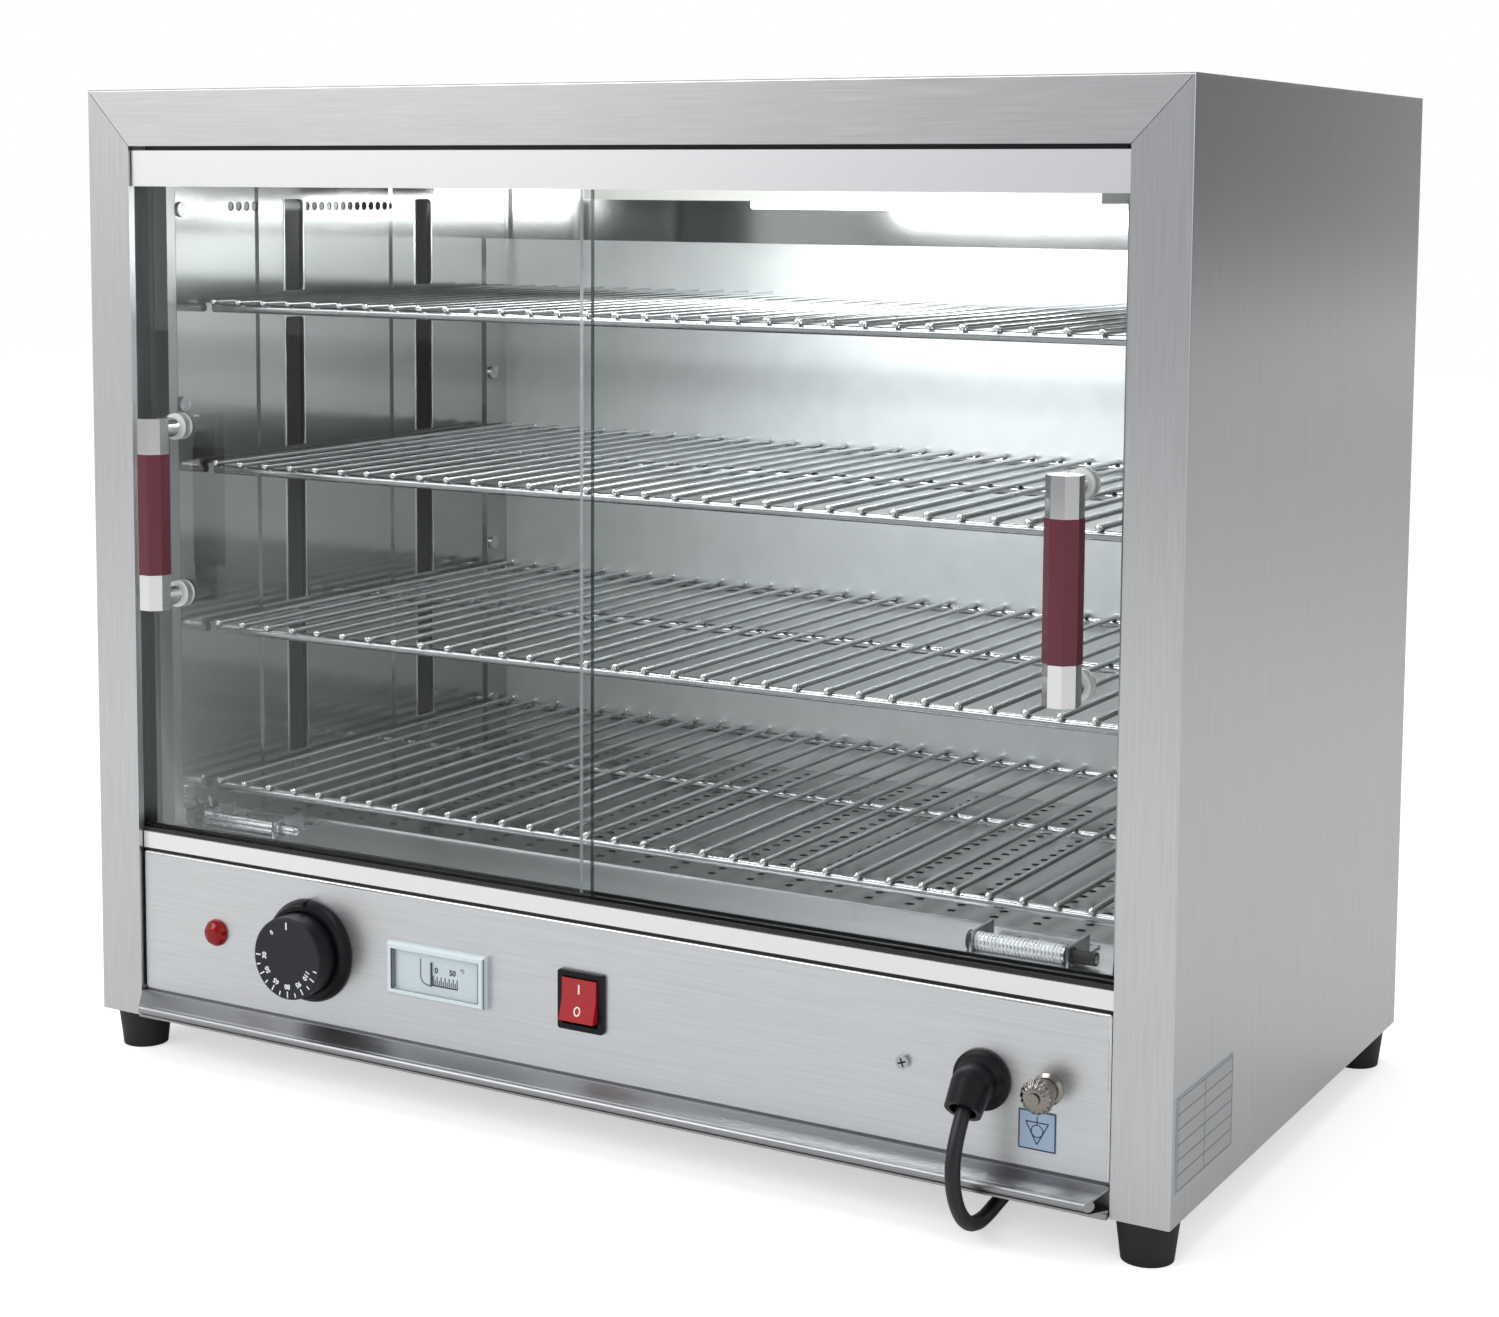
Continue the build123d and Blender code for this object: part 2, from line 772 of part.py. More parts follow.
def door_handle(side, setback):
    """Grip, chromed ends with legs, and washers and screws of one door handle."""
    x = side * handle_x
    axis = setback - handle_standoff
    top = handle_bottom + handle_length
    legs = (handle_bottom + leg_end_distance, top - leg_end_distance)
    back = setback + glass_thickness
    grip_range = (handle_bottom + handle_end_length, top - handle_end_length)
    with BuildPart() as grip:
        octagon(x, axis, grip_range[0], grip_range[1], grip_across_flats)
    with BuildPart() as ends:
        octagon(x, axis, handle_bottom, grip_range[0], handle_across_flats)
        octagon(x, axis, grip_range[1], top, handle_across_flats)
        for height in legs:
            bar_back(x, (axis, setback - washer_thickness), height, leg_radius)
            bar_back(x, (axis + 4, setback), height, handle_screw_radius + screw_fit, Mode.SUBTRACT)
    with BuildPart() as fixings:
        for height in legs:
            head = back + washer_thickness
            for near in (setback - washer_thickness, back):
                bar_back(x, (near, near + washer_thickness), height, washer_radius)
            bar_back(x, (head, head + handle_screw_head_height), height, handle_screw_head_radius)
            bar_back(x, (axis + 6, head), height, handle_screw_radius)
    return {"grip": grip, "ends": ends, "fixings": fixings}


for word, side, setback in (("left", -1, front_glass_setback), ("right", 1, rear_glass_setback)):
    save(door_glass(side, setback), f"{word}_door_glass")
    for piece_name, piece in door_handle(side, setback).items():
        save(piece, f"{word}_handle_{piece_name}")

# Ceiling light: a shallow box and a diffuser under its right-hand part
light_back = light_front + light_width
light_bottom = ceiling_height - light_box_height
with BuildPart() as light_box:
    block(across(light_half_length), (light_front, light_back), (light_bottom, ceiling_height))
save(light_box, "light_box")

with BuildPart() as light_diffuser:
    block(
        (diffuser_left, light_half_length - 3),
        (light_front + 4, light_back - 4),
        (light_bottom - diffuser_height, light_bottom),
    )
    fillet(light_diffuser.edges().filter_by(Axis.X).group_by(Axis.Z)[0], 2.0)
save(light_diffuser, "light_diffuser")

# Indicator lamp: domed lens in front of the panel, lampholder behind it
panel_back = panel_setback + sheet
with BuildPart() as indicator_lens:
    turned(
        lamp_x,
        instrument_height,
        [
            (0, panel_setback - lamp_dome),
            (lamp_radius * 0.45, panel_setback - lamp_dome * 0.92),
            (lamp_radius * 0.78, panel_setback - lamp_dome * 0.66),
            (lamp_radius * 0.96, panel_setback - lamp_dome * 0.3),
            (lamp_radius, panel_setback),
            (lamp_neck_radius - 0.1, panel_setback),
            (lamp_neck_radius - 0.1, panel_back),
            (0, panel_back),
        ],
    )
save(indicator_lens, "indicator_lens")

with BuildPart() as indicator_holder:
    bar_back(lamp_x, (panel_back, panel_back + 24), instrument_height, lamp_neck_radius + 1.5)
    for offset in (-2.5, 2.5):
        block(
            (lamp_x + offset - 0.4, lamp_x + offset + 0.4),
            (panel_back + 24, panel_back + 32),
            (instrument_height - 2, instrument_height + 2),
        )
save(indicator_holder, "indicator_holder")

# Thermostat: bezel, knob on its spindle, and the switch body with the bearing for the spindle
recess_floor = panel_setback - bezel_thickness + bezel_rim
with BuildPart() as thermostat_bezel:
    bezel_front = panel_setback - bezel_thickness
    turned(
        thermostat_x,
        instrument_height,
        [
            (spindle_radius + 1, panel_setback),
            (bezel_radius, panel_setback),
            (bezel_radius, panel_setback - 1.6),
            (bezel_radius - 1.2, bezel_front + 2.6),
            (bezel_radius - 3.0, bezel_front),
            (knob_radius + knob_clearance, bezel_front),
            (knob_radius + knob_clearance, recess_floor),
            (spindle_radius + 1, recess_floor),
        ],
    )
save(thermostat_bezel, "thermostat_bezel")

knob_front = panel_setback - knob_reach
knob_back = recess_floor - 0.5
with BuildPart() as thermostat_knob:
    bar_back(thermostat_x, (knob_front, knob_back), instrument_height, knob_radius)
    fillet(thermostat_knob.edges().group_by(Axis.Y)[0], 1.2)
    bar_back(thermostat_x, (knob_front + 4, knob_back), instrument_height, spindle_radius, Mode.SUBTRACT)
save(thermostat_knob, "thermostat_knob")

bearing_depth = 14.0
with BuildPart() as thermostat_spindle:
    spindle_end = panel_back + bearing_depth - 0.5
    bar_back(thermostat_x, (knob_front + 4, spindle_end), instrument_height, spindle_radius)
save(thermostat_spindle, "thermostat_spindle")

with BuildPart() as thermostat_body:
    block(
        (thermostat_x - 20, thermostat_x + 20),
        (panel_back, panel_back + 36),
        (instrument_height - 20, instrument_height + 20),
    )
    bar_back(
        thermostat_x,
        (panel_back, panel_back + bearing_depth),
        instrument_height,
        spindle_radius + spindle_fit,
        Mode.SUBTRACT,
    )
save(thermostat_body, "thermostat_body")

# Thermometer: framed case through the panel, clear window, and a pointer that slides along the scale
case_front = panel_setback - thermometer_proud
case_x = (thermometer_x - thermometer_width / 2, thermometer_x + thermometer_width / 2)
case_z = (instrument_height - thermometer_height / 2, instrument_height + thermometer_height / 2)
neck_x = (case_x[0] + thermometer_rim + 0.2, case_x[1] - thermometer_rim - 0.2)
neck_z = (case_z[0] + thermometer_rim + 0.2, case_z[1] - thermometer_rim - 0.2)
dial_face = panel_setback - 1.2
window_front = case_front + 0.5
window_thickness = 0.8
with BuildPart() as thermometer_case:
    block(case_x, (case_front, panel_setback), case_z)
    chamfer(thermometer_case.faces().sort_by(Axis.Y)[0].edges(), 1.2)
    block(
        (case_x[0] + thermometer_rim, case_x[1] - thermometer_rim),
        (case_front, dial_face),
        (case_z[0] + thermometer_rim, case_z[1] - thermometer_rim),
        Mode.SUBTRACT,
    )
    block(neck_x, (dial_face, panel_back + 20), neck_z)
save(thermometer_case, "thermometer_case")

with BuildPart() as thermometer_window:
    block(
        (case_x[0] + thermometer_rim, case_x[1] - thermometer_rim),
        (window_front, window_front + window_thickness),
        (case_z[0] + thermometer_rim, case_z[1] - thermometer_rim),
    )
save(thermometer_window, "thermometer_window")

with BuildPart() as thermometer_pointer:
    pointer_front = window_front + window_thickness + 0.4
    block(
        (pointer_rest_x - 0.4, pointer_rest_x + 0.4),
        (pointer_front, pointer_front + 0.4),
        (instrument_height - 6.5, instrument_height + 6.5),
    )
save(thermometer_pointer, "thermometer_pointer")

# Power switch: bezel and body in one moulding, with a rocker on its own pivot
rocker_pivot = panel_setback + 3.0
opening_half_height = rocker_half_height + 1.6
with BuildPart() as switch_body:
    switch_z = (instrument_height - switch_height / 2, instrument_height + switch_height / 2)
    bezel_x = (switch_x - switch_width / 2, switch_x + switch_width / 2)
    block(bezel_x, (panel_setback - switch_proud, panel_setback), switch_z)
    fillet(switch_body.edges().filter_by(Axis.Y), 1.6)
    block(
        (switch_x - switch_body_width / 2 + 0.1, switch_x + switch_body_width / 2 - 0.1),
        (panel_setback, panel_setback + 24),
        (instrument_height - switch_body_height / 2 + 0.1, instrument_height + switch_body_height / 2 - 0.1),
    )
    block(
        (switch_x - rocker_width / 2 - rocker_clearance, switch_x + rocker_width / 2 + rocker_clearance),
        (panel_setback - switch_proud, rocker_pivot + 8),
        (instrument_height - opening_half_height, instrument_height + opening_half_height),
        Mode.SUBTRACT,
    )
    for offset in (-7.0, 7.0):
        block(
            (switch_x - 3, switch_x + 3),
            (panel_setback + 24, panel_setback + 34),
            (instrument_height + offset - 0.4, instrument_height + offset + 0.4),
        )
    pin_half_length = rocker_width / 2 + rocker_clearance + 1.0
    bar_across((switch_x - pin_half_length, switch_x + pin_half_length), rocker_pivot, instrument_height, 1.5)
save(switch_body, "switch_body")


def tilted(out, up):
    """A point of the rocker, (outwards, upwards) from its pivot, turned so that the top is pressed in."""
    angle = radians(-rocker_tilt)
    turned_out = out * cos(angle) + up * sin(angle)
    turned_up = -out * sin(angle) + up * cos(angle)
    return (rocker_pivot - turned_out, instrument_height + turned_up)


with BuildPart() as switch_rocker:
    section(
        [
            tilted(rocker_reach, rocker_half_height),
            tilted(rocker_reach - rocker_hollow, 0),
            tilted(rocker_reach, -rocker_half_height),
            tilted(0, -rocker_half_height + 1),
            tilted(-5.0, -4.0),
            tilted(-5.0, 4.0),
            tilted(0, rocker_half_height - 1),
        ],
        (switch_x - rocker_width / 2, switch_x + rocker_width / 2),
    )
    bar_across(
        (switch_x - rocker_width / 2, switch_x + rocker_width / 2),
        rocker_pivot,
        instrument_height,
        1.5 + spindle_fit,
        Mode.SUBTRACT,
    )
save(switch_rocker, "switch_rocker")

# Bonding terminal: a stud through the panel, a serrated nut and a plain washer
nut_front = panel_setback - 18.0
with BuildPart() as bonding_stud:
    bar_back(bonding_x, (nut_front - 1.5, panel_back + 6), instrument_height, bonding_stud_radius)
    with BuildSketch(Plane.XZ.offset(-behind(panel_back + 5))):
        with Locations((bonding_x, above(instrument_height))):
            RegularPolygon(6, 6)
    extrude(amount=5)
save(bonding_stud, "bonding_stud")

with BuildPart() as bonding_nut:
    turned(
        bonding_x,
        instrument_height,
        [
            (bonding_stud_radius + screw_fit, nut_front),
            (5.5, nut_front),
            (8.4, nut_front + 3.0),
            (8.4, nut_front + 5.0),
            (6.2, nut_front + 6.0),
            (6.2, nut_front + 15.0),
            (7.9, nut_front + 16.4),
            (7.9, panel_setback),
            (bonding_stud_radius + screw_fit, panel_setback),
        ],
    )
save(bonding_nut, "bonding_nut")

# Thin plates: the earth bonding symbol on the panel and the data plate on the right side
with BuildPart() as label_plates:
    half_symbol = symbol_size / 2
    block(
        (symbol_x - half_symbol, symbol_x + half_symbol),
        (panel_setback - label_thickness, panel_setback),
        (symbol_height - half_symbol, symbol_height + half_symbol),
    )
    block(
        (half_width, half_width + label_thickness),
        (rating_front, rating_front + rating_length),
        (rating_bottom, rating_bottom + rating_height),
    )
save(label_plates, "label_plates")

# Tubular heating elements, bent to hairpins, in upright brackets on the base pan
with BuildPart() as heating_elements:
    for depth in element_rows:
        far = depth + element_gap
        bend = element_gap / 2
        height = above(element_height)
        with BuildLine():
            near_leg = Line(
                (element_half_length, behind(depth), height),
                (-element_half_length + bend, behind(depth), height),
            )
            ThreePointArc(
                near_leg @ 1,
                (-element_half_length, behind(depth + bend), height),
                (-element_half_length + bend, behind(far), height),
            )
            Line(
                (-element_half_length + bend, behind(far), height),
                (element_half_length, behind(far), height),
            )
        with BuildSketch(Plane((element_half_length, behind(depth), height), z_dir=(-1, 0, 0))):
            Circle(element_radius)
        sweep()
save(heating_elements, "heating_elements")

element_lines = [depth + offset for depth in element_rows for offset in (0, element_gap)]
with BuildPart() as element_brackets:
    for x in bracket_places:
        block(
            (x - bracket_thickness / 2, x + bracket_thickness / 2),
            (element_lines[0] - 12, element_lines[-1] + 12),
            (2 * sheet, element_height + 9),
        )
        block((x, x + 14), (element_lines[0] - 12, element_lines[-1] + 12), (2 * sheet, 3 * sheet))
        for line in element_lines:
            bar_across((x - 3, x + 3), line, element_height, element_radius + element_fit, Mode.SUBTRACT)
save(element_brackets, "element_brackets")

with BuildPart() as terminal_block:
    block((166, 216), (40, 60), (2 * sheet, 20))
    for i in range(3):
        bar_up(176 + 15 * i, 50, (16, 20), 3.0, Mode.SUBTRACT)
save(terminal_block, "terminal_block")

# Temperature feelers: bulbs of the thermostat and the thermometer in slotted brackets
feeler_height = sill_top + 0.3 + feeler_radius
with BuildPart() as feeler_bulbs:
    for start in feeler_ends:
        bar_across((start, start + feeler_length), feeler_depth, feeler_height, feeler_radius)
        end = start + feeler_length
        bar_across((end, end + 14), feeler_depth, feeler_height, feeler_radius * 0.7)
        with Locations((end + 14, behind(feeler_depth), above(feeler_height))):
            Sphere(feeler_radius * 0.7)
save(feeler_bulbs, "feeler_bulbs")

with BuildPart() as feeler_brackets:
    for start in feeler_ends:
        plate = (start + 2, start + feeler_length + 4)
        block(plate, (feeler_depth + 6, feeler_depth + 34), (sill_top, sill_top + sheet))
        for ear in (start + 2, start + feeler_length + 4 - sheet):
            block(
                (ear, ear + sheet),
                (feeler_depth - 7, feeler_depth + 20),
                (sill_top, sill_top + 2 * feeler_radius + 2),
            )
        bar_across(plate, feeler_depth, feeler_height, feeler_radius + feeler_fit, Mode.SUBTRACT)
        with BuildSketch(Plane.XY.offset(above(sill_top))):
            with Locations((start + feeler_length / 2 + 3, behind(feeler_depth + 26))):
                SlotOverall(34, 4.5)
        extrude(amount=sheet, mode=Mode.SUBTRACT)
save(feeler_brackets, "feeler_brackets")

# Screws: foot screws with nuts, lining screws, back panel screws, one panel screw and the gland's nut
screw_head_radius = 4.4
screw_head_height = back_proud
liner_screws = [(33.0, 467.0), (33.0, 355.0), (33.0, 127.5), (338.0, 356.0), (338.0, 240.0), (338.0, 133.0)]
back_screw_heights = [40.0, 190.0, 340.0, 500.0]
with BuildPart() as screws:
    for x, depth in foot_places:
        bar_up(x, depth, (-foot_height + foot_recess_depth - 3, -foot_height + foot_recess_depth), 5.0)
        bar_up(x, depth, (-foot_height + foot_recess_depth, 10), foot_screw_radius)
        with BuildSketch(Plane.XY.offset(above(2 * sheet))):
            with Locations((x, behind(depth))):
                RegularPolygon(4.6, 6)
        extrude(amount=4)
    for side in (-1, 1):
        for depth, height in liner_screws:
            proud = corner_post_thickness if depth > corner_post_front else 0
            seat = side * (liner_half_width - proud)
            bar_across((seat - side * screw_head_height, seat), depth, height, screw_head_radius)
        for height in back_screw_heights:
            x = side * (half_width - sheet - flange_width / 2)
            bar_back(x, (body_depth, body_depth + screw_head_height), height, screw_head_radius)
    bar_back(panel_screw_x, (panel_setback - 2.2, panel_setback), instrument_height, 3.5)
    bar_back(panel_screw_x, (panel_setback, panel_back + 8), instrument_height, panel_screw_radius)
    with BuildSketch(Plane.XZ.offset(-behind(panel_back + 6))):
        with Locations((gland_x, above(gland_height))):
            RegularPolygon(14, 6)
            Circle(gland_hole_radius - 0.05, mode=Mode.SUBTRACT)
    extrude(amount=6)
save(screws, "screws")

# Cord gland: flange and locking nut either side of the panel, hood turned down by 45 degrees
down = Vector(0, -cos(radians(45)), -sin(radians(45)))
hood_centre = Vector(gland_x, behind(panel_setback - gland_hood_reach), above(gland_height))
mouth = hood_centre + down * gland_mouth_reach
cord_start = hood_centre - down * (gland_hood_radius * 0.5)
with BuildPart() as cord_gland:
    turned(
        gland_x,
        gland_height,
        [
            (0, panel_setback - gland_hood_reach),
            (gland_hood_radius, panel_setback - gland_hood_reach),
            (gland_hood_radius, panel_setback - 6),
            (gland_flange_radius - 2, panel_setback - 3),
            (gland_flange_radius, panel_setback - 2),
            (gland_flange_radius, panel_setback),
            (gland_hole_radius - 0.1, panel_setback),
            (gland_hole_radius - 0.1, panel_back + 9),
            (0, panel_back + 9),
        ],
    )
    with Locations(hood_centre):
        Sphere(gland_hood_radius)
    with BuildSketch(Plane(hood_centre, x_dir=(1, 0, 0), z_dir=down)):
        Circle(gland_hood_radius)
    extrude(amount=gland_mouth_reach, taper=gland_taper)
    with BuildSketch(Plane(cord_start, x_dir=(1, 0, 0), z_dir=down)):
        Circle(cord_radius + gland_bore_fit)
    extrude(amount=4 * gland_hood_radius, mode=Mode.SUBTRACT)
    with BuildSketch(Plane(mouth, x_dir=(1, 0, 0), z_dir=-down)):
        Circle(gland_hood_radius - 3.4)
    extrude(amount=gland_mouth_reach * 0.7, taper=8, mode=Mode.SUBTRACT)
save(cord_gland, "cord_gland")

# Mains lead: out of the hood, down in front of the gutter, back under the cabinet to a coil
floor_line = cord_radius
first_drop = cord_first_run * sin(radians(45))
low_corner_y = cord_start.Y
coil_centre_y = behind(body_depth) + back_proud + coil_gap_behind + coil_outer_radius + cord_radius
lead_points = [
    cord_start,
    cord_start + down * cord_first_run,
    Vector(gland_x, cord_start.Y - first_drop, floor_line + first_drop),
    Vector(gland_x, low_corner_y, floor_line),
    Vector(gland_x - 8.0, low_corner_y + 60.0, floor_line),
    Vector(gland_x - 17.5, low_corner_y + 158.0, floor_line),
    Vector(gland_x - 22.5, low_corner_y + 262.0, floor_line),
    Vector(gland_x - 24.0, low_corner_y + 354.0, floor_line),
    Vector(gland_x - 24.0, coil_centre_y, floor_line),
]


def corner_radii(points):
    """Arc radius at each inner point: 0.45 of the shorter run over the tangent of half the turn."""
    radii = []
    for before, here, after in zip(points, points[1:], points[2:]):
        turn = (here - before).get_angle(after - here)
        shorter = min((here - before).length, (after - here).length)
        radii.append(0.45 * shorter / tan(radians(turn / 2)))
    return radii


lead_radii = corner_radii(lead_points)
print("lead radii", [round(radius, 1) for radius in lead_radii])
with BuildPart() as cord_lead:
    with BuildLine():
        lead_path = FilletPolyline(*lead_points, radius=lead_radii)
    with BuildSketch(Plane(cord_start, x_dir=(1, 0, 0), z_dir=down)):
        Circle(cord_radius)
    sweep()
save(cord_lead, "cord_lead")
lead_length = lead_path.length
lead_volume = pi * cord_radius**2 * lead_length
print("lead length", round(lead_length, 1), "volume ratio", round(cord_lead.part.volume / lead_volume, 4))

# Coil: half-turn arcs spiral inwards on the floor, climb one layer, and spiral out again
coil_start = lead_points[-1]
half_pitch = coil_turn_pitch / 2
inward = [coil_outer_radius - half_pitch * i for i in range(5)]
coil_radii = inward + inward[3:0:-1]
climb_turn = len(inward) - 1
coil_arcs = []
place = coil_start
heading = Vector(0, 1, 0)
for i, radius in enumerate(coil_radii):
    rise = coil_turn_pitch if i == climb_turn else 0.0
    inwards = heading.rotate(Axis.Z, 90)
    chord = inwards * (2 * radius) + Vector(0, 0, rise)
    arc_middle = place + chord * 0.5 + heading * (chord.length / 2)
    coil_arcs.append((place, arc_middle, place + chord))
    place = place + chord
    heading = heading * -1
quarter_inwards = heading.rotate(Axis.Z, 90)
quarter_centre = place + quarter_inwards * coil_outer_radius
quarter_middle = quarter_centre + (heading - quarter_inwards).normalized() * coil_outer_radius
tail_start = quarter_centre + heading * coil_outer_radius
coil_arcs.append((place, quarter_middle, tail_start))
tail_end = tail_start + quarter_inwards * tail_length
with BuildPart() as cord_coil:
    with BuildLine():
        for start, middle, end in coil_arcs:
            ThreePointArc(start, middle, end)
        Line(tail_start, tail_end)
    coil_length = sum(edge.length for edge in cord_coil.pending_edges)
    coil_line = [edge for edge in cord_coil.pending_edges]
    with BuildSketch(Plane(coil_start, x_dir=(1, 0, 0), z_dir=(0, 1, 0))):
        Circle(cord_radius)
    sweep()
save(cord_coil, "cord_coil")

samples = []
travelled = 0.0
for edge in coil_line:
    steps = max(2, int(edge.length / 2))
    samples += [(travelled + edge.length * k / steps, edge @ (k / steps)) for k in range(steps)]
    travelled += edge.length
least_gap = min(
    (a - b).length - 2 * cord_radius
    for i, (s, a) in enumerate(samples)
    for t, b in samples[i + 1 :]
    if t - s > 6 * cord_radius
)
print("coil length", round(coil_length, 1), "least gap between turns", round(least_gap, 2))
print("cord length", round(lead_length + coil_length, 1), "coil radii", [round(r, 1) for r in coil_radii])

# Moulded plug with two round pins, lying beside the coil
with BuildPart() as plug:
    with BuildSketch(Plane(tail_end, x_dir=(0, 1, 0), z_dir=quarter_inwards)):
        Circle(cord_radius + 1.2)
    body_start = tail_end + quarter_inwards * plug_relief_length
    with BuildSketch(Plane(body_start, x_dir=(0, 1, 0), z_dir=quarter_inwards)):
        Circle(plug_radius * 0.72)
    loft()
    with BuildSketch(Plane(body_start, x_dir=(0, 1, 0), z_dir=quarter_inwards)):
        RectangleRounded(2 * plug_radius + 10, 2 * plug_radius, 6.0)
    extrude(amount=plug_length)
save(plug, "plug")

with BuildPart() as plug_pins:
    pin_start = body_start + quarter_inwards * plug_length
    for offset in (-plug_pin_pitch / 2, plug_pin_pitch / 2):
        with BuildSketch(Plane(pin_start + Vector(0, offset, 0), x_dir=(0, 1, 0), z_dir=quarter_inwards)):
            Circle(plug_pin_radius)
        extrude(amount=plug_pin_length)
save(plug_pins, "plug_pins")
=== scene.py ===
from math import cos, pi, radians, sin

import bmesh
import bpy
from mathutils import Matrix, Vector


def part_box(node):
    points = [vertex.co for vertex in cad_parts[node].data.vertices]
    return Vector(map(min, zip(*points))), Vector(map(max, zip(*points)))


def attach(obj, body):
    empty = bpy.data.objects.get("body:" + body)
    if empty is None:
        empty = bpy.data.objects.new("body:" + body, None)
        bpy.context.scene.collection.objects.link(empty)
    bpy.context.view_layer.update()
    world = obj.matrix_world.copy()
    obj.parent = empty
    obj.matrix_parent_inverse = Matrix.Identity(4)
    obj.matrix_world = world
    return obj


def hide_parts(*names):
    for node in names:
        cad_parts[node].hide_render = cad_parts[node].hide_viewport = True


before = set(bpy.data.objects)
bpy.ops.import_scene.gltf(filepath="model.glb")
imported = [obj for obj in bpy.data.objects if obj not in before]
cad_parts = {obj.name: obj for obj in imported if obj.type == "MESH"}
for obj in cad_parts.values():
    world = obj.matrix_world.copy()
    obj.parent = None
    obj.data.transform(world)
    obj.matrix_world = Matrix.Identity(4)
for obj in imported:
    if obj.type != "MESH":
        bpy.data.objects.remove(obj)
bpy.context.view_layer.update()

MM = 0.001

ACROSS, BEHIND, ABOVE = 0, 1, 2

# Sizes in millimetres, repeated from the part's source
cord_radius = 3.75
shelf_rod_radius = 2.6
wire_count = 32
wire_half_span = 286.0
wire_height = 3.8
wire_reach = (52.8, 354.6)

# Where the front face and the underside of the cabinet are, from the frame
front_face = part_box("left_side_panel")[0].y / MM
foot_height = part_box("left_side_panel")[0].z / MM


def at(x, depth, height):
    """A point in metres, from millimetres across, behind the front face and above the underside."""
    return Vector((x, front_face + depth, foot_height + height)) * MM


def ends(node, way):
    """Where a node starts and stops in millimetres: across, behind the front face or above the underside."""
    origin = (0.0, front_face, foot_height)[way]
    return [corner[way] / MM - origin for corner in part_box(node)]


def middle(node, way):
    """The middle of a node, in the same terms."""
    return sum(ends(node, way)) / 2


# Places of the pieces that get print and other detail
panel_front = ends("control_panel", BEHIND)[0]
instrument_height = middle("thermostat_bezel", ABOVE)
thermostat_x = middle("thermostat_knob", ACROSS)
knob_radius = ends("thermostat_knob", ACROSS)[1] - thermostat_x
knob_face = ends("thermostat_knob", BEHIND)[0]
shelf_levels = [ends(f"shelf_{number}", ABOVE)[0] + shelf_rod_radius for number in (4, 3, 2, 1)]


# The camera stands to the right of the cabinet, as in the photograph
scene = bpy.context.scene
scene.view_settings.view_transform = "Standard"
azimuth, elevation, roll = radians(29.72), radians(5.64), radians(0.382)
camera_place = at(749.2, -1131.0, 481.1)
back = Vector((sin(azimuth) * cos(elevation), -cos(azimuth) * cos(elevation), sin(elevation)))
level = Vector((cos(azimuth), sin(azimuth), 0))
upright = back.cross(level)
right = level * cos(roll) + upright * sin(roll)
up = upright * cos(roll) - level * sin(roll)
camera_data = bpy.data.cameras.new("camera")
camera_data.lens = 63.66
camera_data.sensor_width = 36.0
camera_data.shift_y = -0.139
camera_data.clip_start = 0.01
camera = bpy.data.objects.new("camera", camera_data)
camera_turn = Matrix((right, up, back)).transposed().to_4x4()
camera.matrix_world = Matrix.Translation(camera_place) @ camera_turn
scene.collection.objects.link(camera)
scene.camera = camera


def linear(colour):
    """Linear RGBA of an sRGB hex colour."""
    values = [int(colour[i : i + 2], 16) / 255 for i in (1, 3, 5)]
    return [v / 12.92 if v <= 0.04045 else ((v + 0.055) / 1.055) ** 2.4 for v in values] + [1.0]


def add(tree, kind, inputs=None, **settings):
    """Add a node. Inputs are values, or the sockets that feed them, by name or number."""
    made = tree.nodes.new(kind)
    for name, value in settings.items():
        setattr(made, name, value)
    for name, value in (inputs or {}).items():
        if isinstance(value, bpy.types.NodeSocket):
            tree.links.new(value, made.inputs[name])
        else:
            made.inputs[name].default_value = value
    return made


def new_material(name):
    """An empty node material with its output, ready for a surface."""
    material = bpy.data.materials.new(name)
    material.use_nodes = True
    material.node_tree.nodes.clear()
    return material, material.node_tree


# Depth of every grain's relief, in metres
grain_relief = 0.0002


def plain(name, colour, roughness=0.4, metallic=0.0, grain=None, **values):
    """A principled surface. A grain is (noise scale along x, y and z per metre, strength)."""
    material, tree = new_material(name)
    inputs = {"Base Color": linear(colour), "Roughness": roughness, "Metallic": metallic}
    inputs.update({key.replace("_", " "): value for key, value in values.items()})
    if grain:
        scale, depth = grain
        places = add(tree, "ShaderNodeTexCoord")
        stretched = add(tree, "ShaderNodeMapping", {"Vector": places.outputs["Object"], "Scale": scale})
        pattern = {"Vector": stretched.outputs[0], "Scale": 1.0, "Detail": 3.0}
        noise = add(tree, "ShaderNodeTexNoise", pattern)
        limits = {"From Min": 0.3, "From Max": 0.7, "To Min": 1 - depth, "To Max": 1 + depth}
        spread = add(tree, "ShaderNodeMapRange", {"Value": noise.outputs[0], **limits})
        tint = add(
            tree,
            "ShaderNodeVectorMath",
            {0: linear(colour)[:3], "Scale": spread.outputs[0]},
            operation="SCALE",
        )
        rough = add(tree, "ShaderNodeMath", {0: roughness, 1: spread.outputs[0]}, operation="MULTIPLY")
        relief = {"Height": noise.outputs[0], "Strength": depth, "Distance": grain_relief}
        bump = add(tree, "ShaderNodeBump", relief)
        inputs["Base Color"] = tint.outputs[0]
        inputs["Roughness"] = rough.outputs[0]
        inputs["Normal"] = bump.outputs[0]
    surface = add(tree, "ShaderNodeBsdfPrincipled", inputs)
    add(tree, "ShaderNodeOutputMaterial", {"Surface": surface.outputs[0]})
    return material


# A face of a pane looks mostly along Y; anything that looks further aside is a cut edge
pane_face_limit = 0.6
glass_sheen_share = 0.3


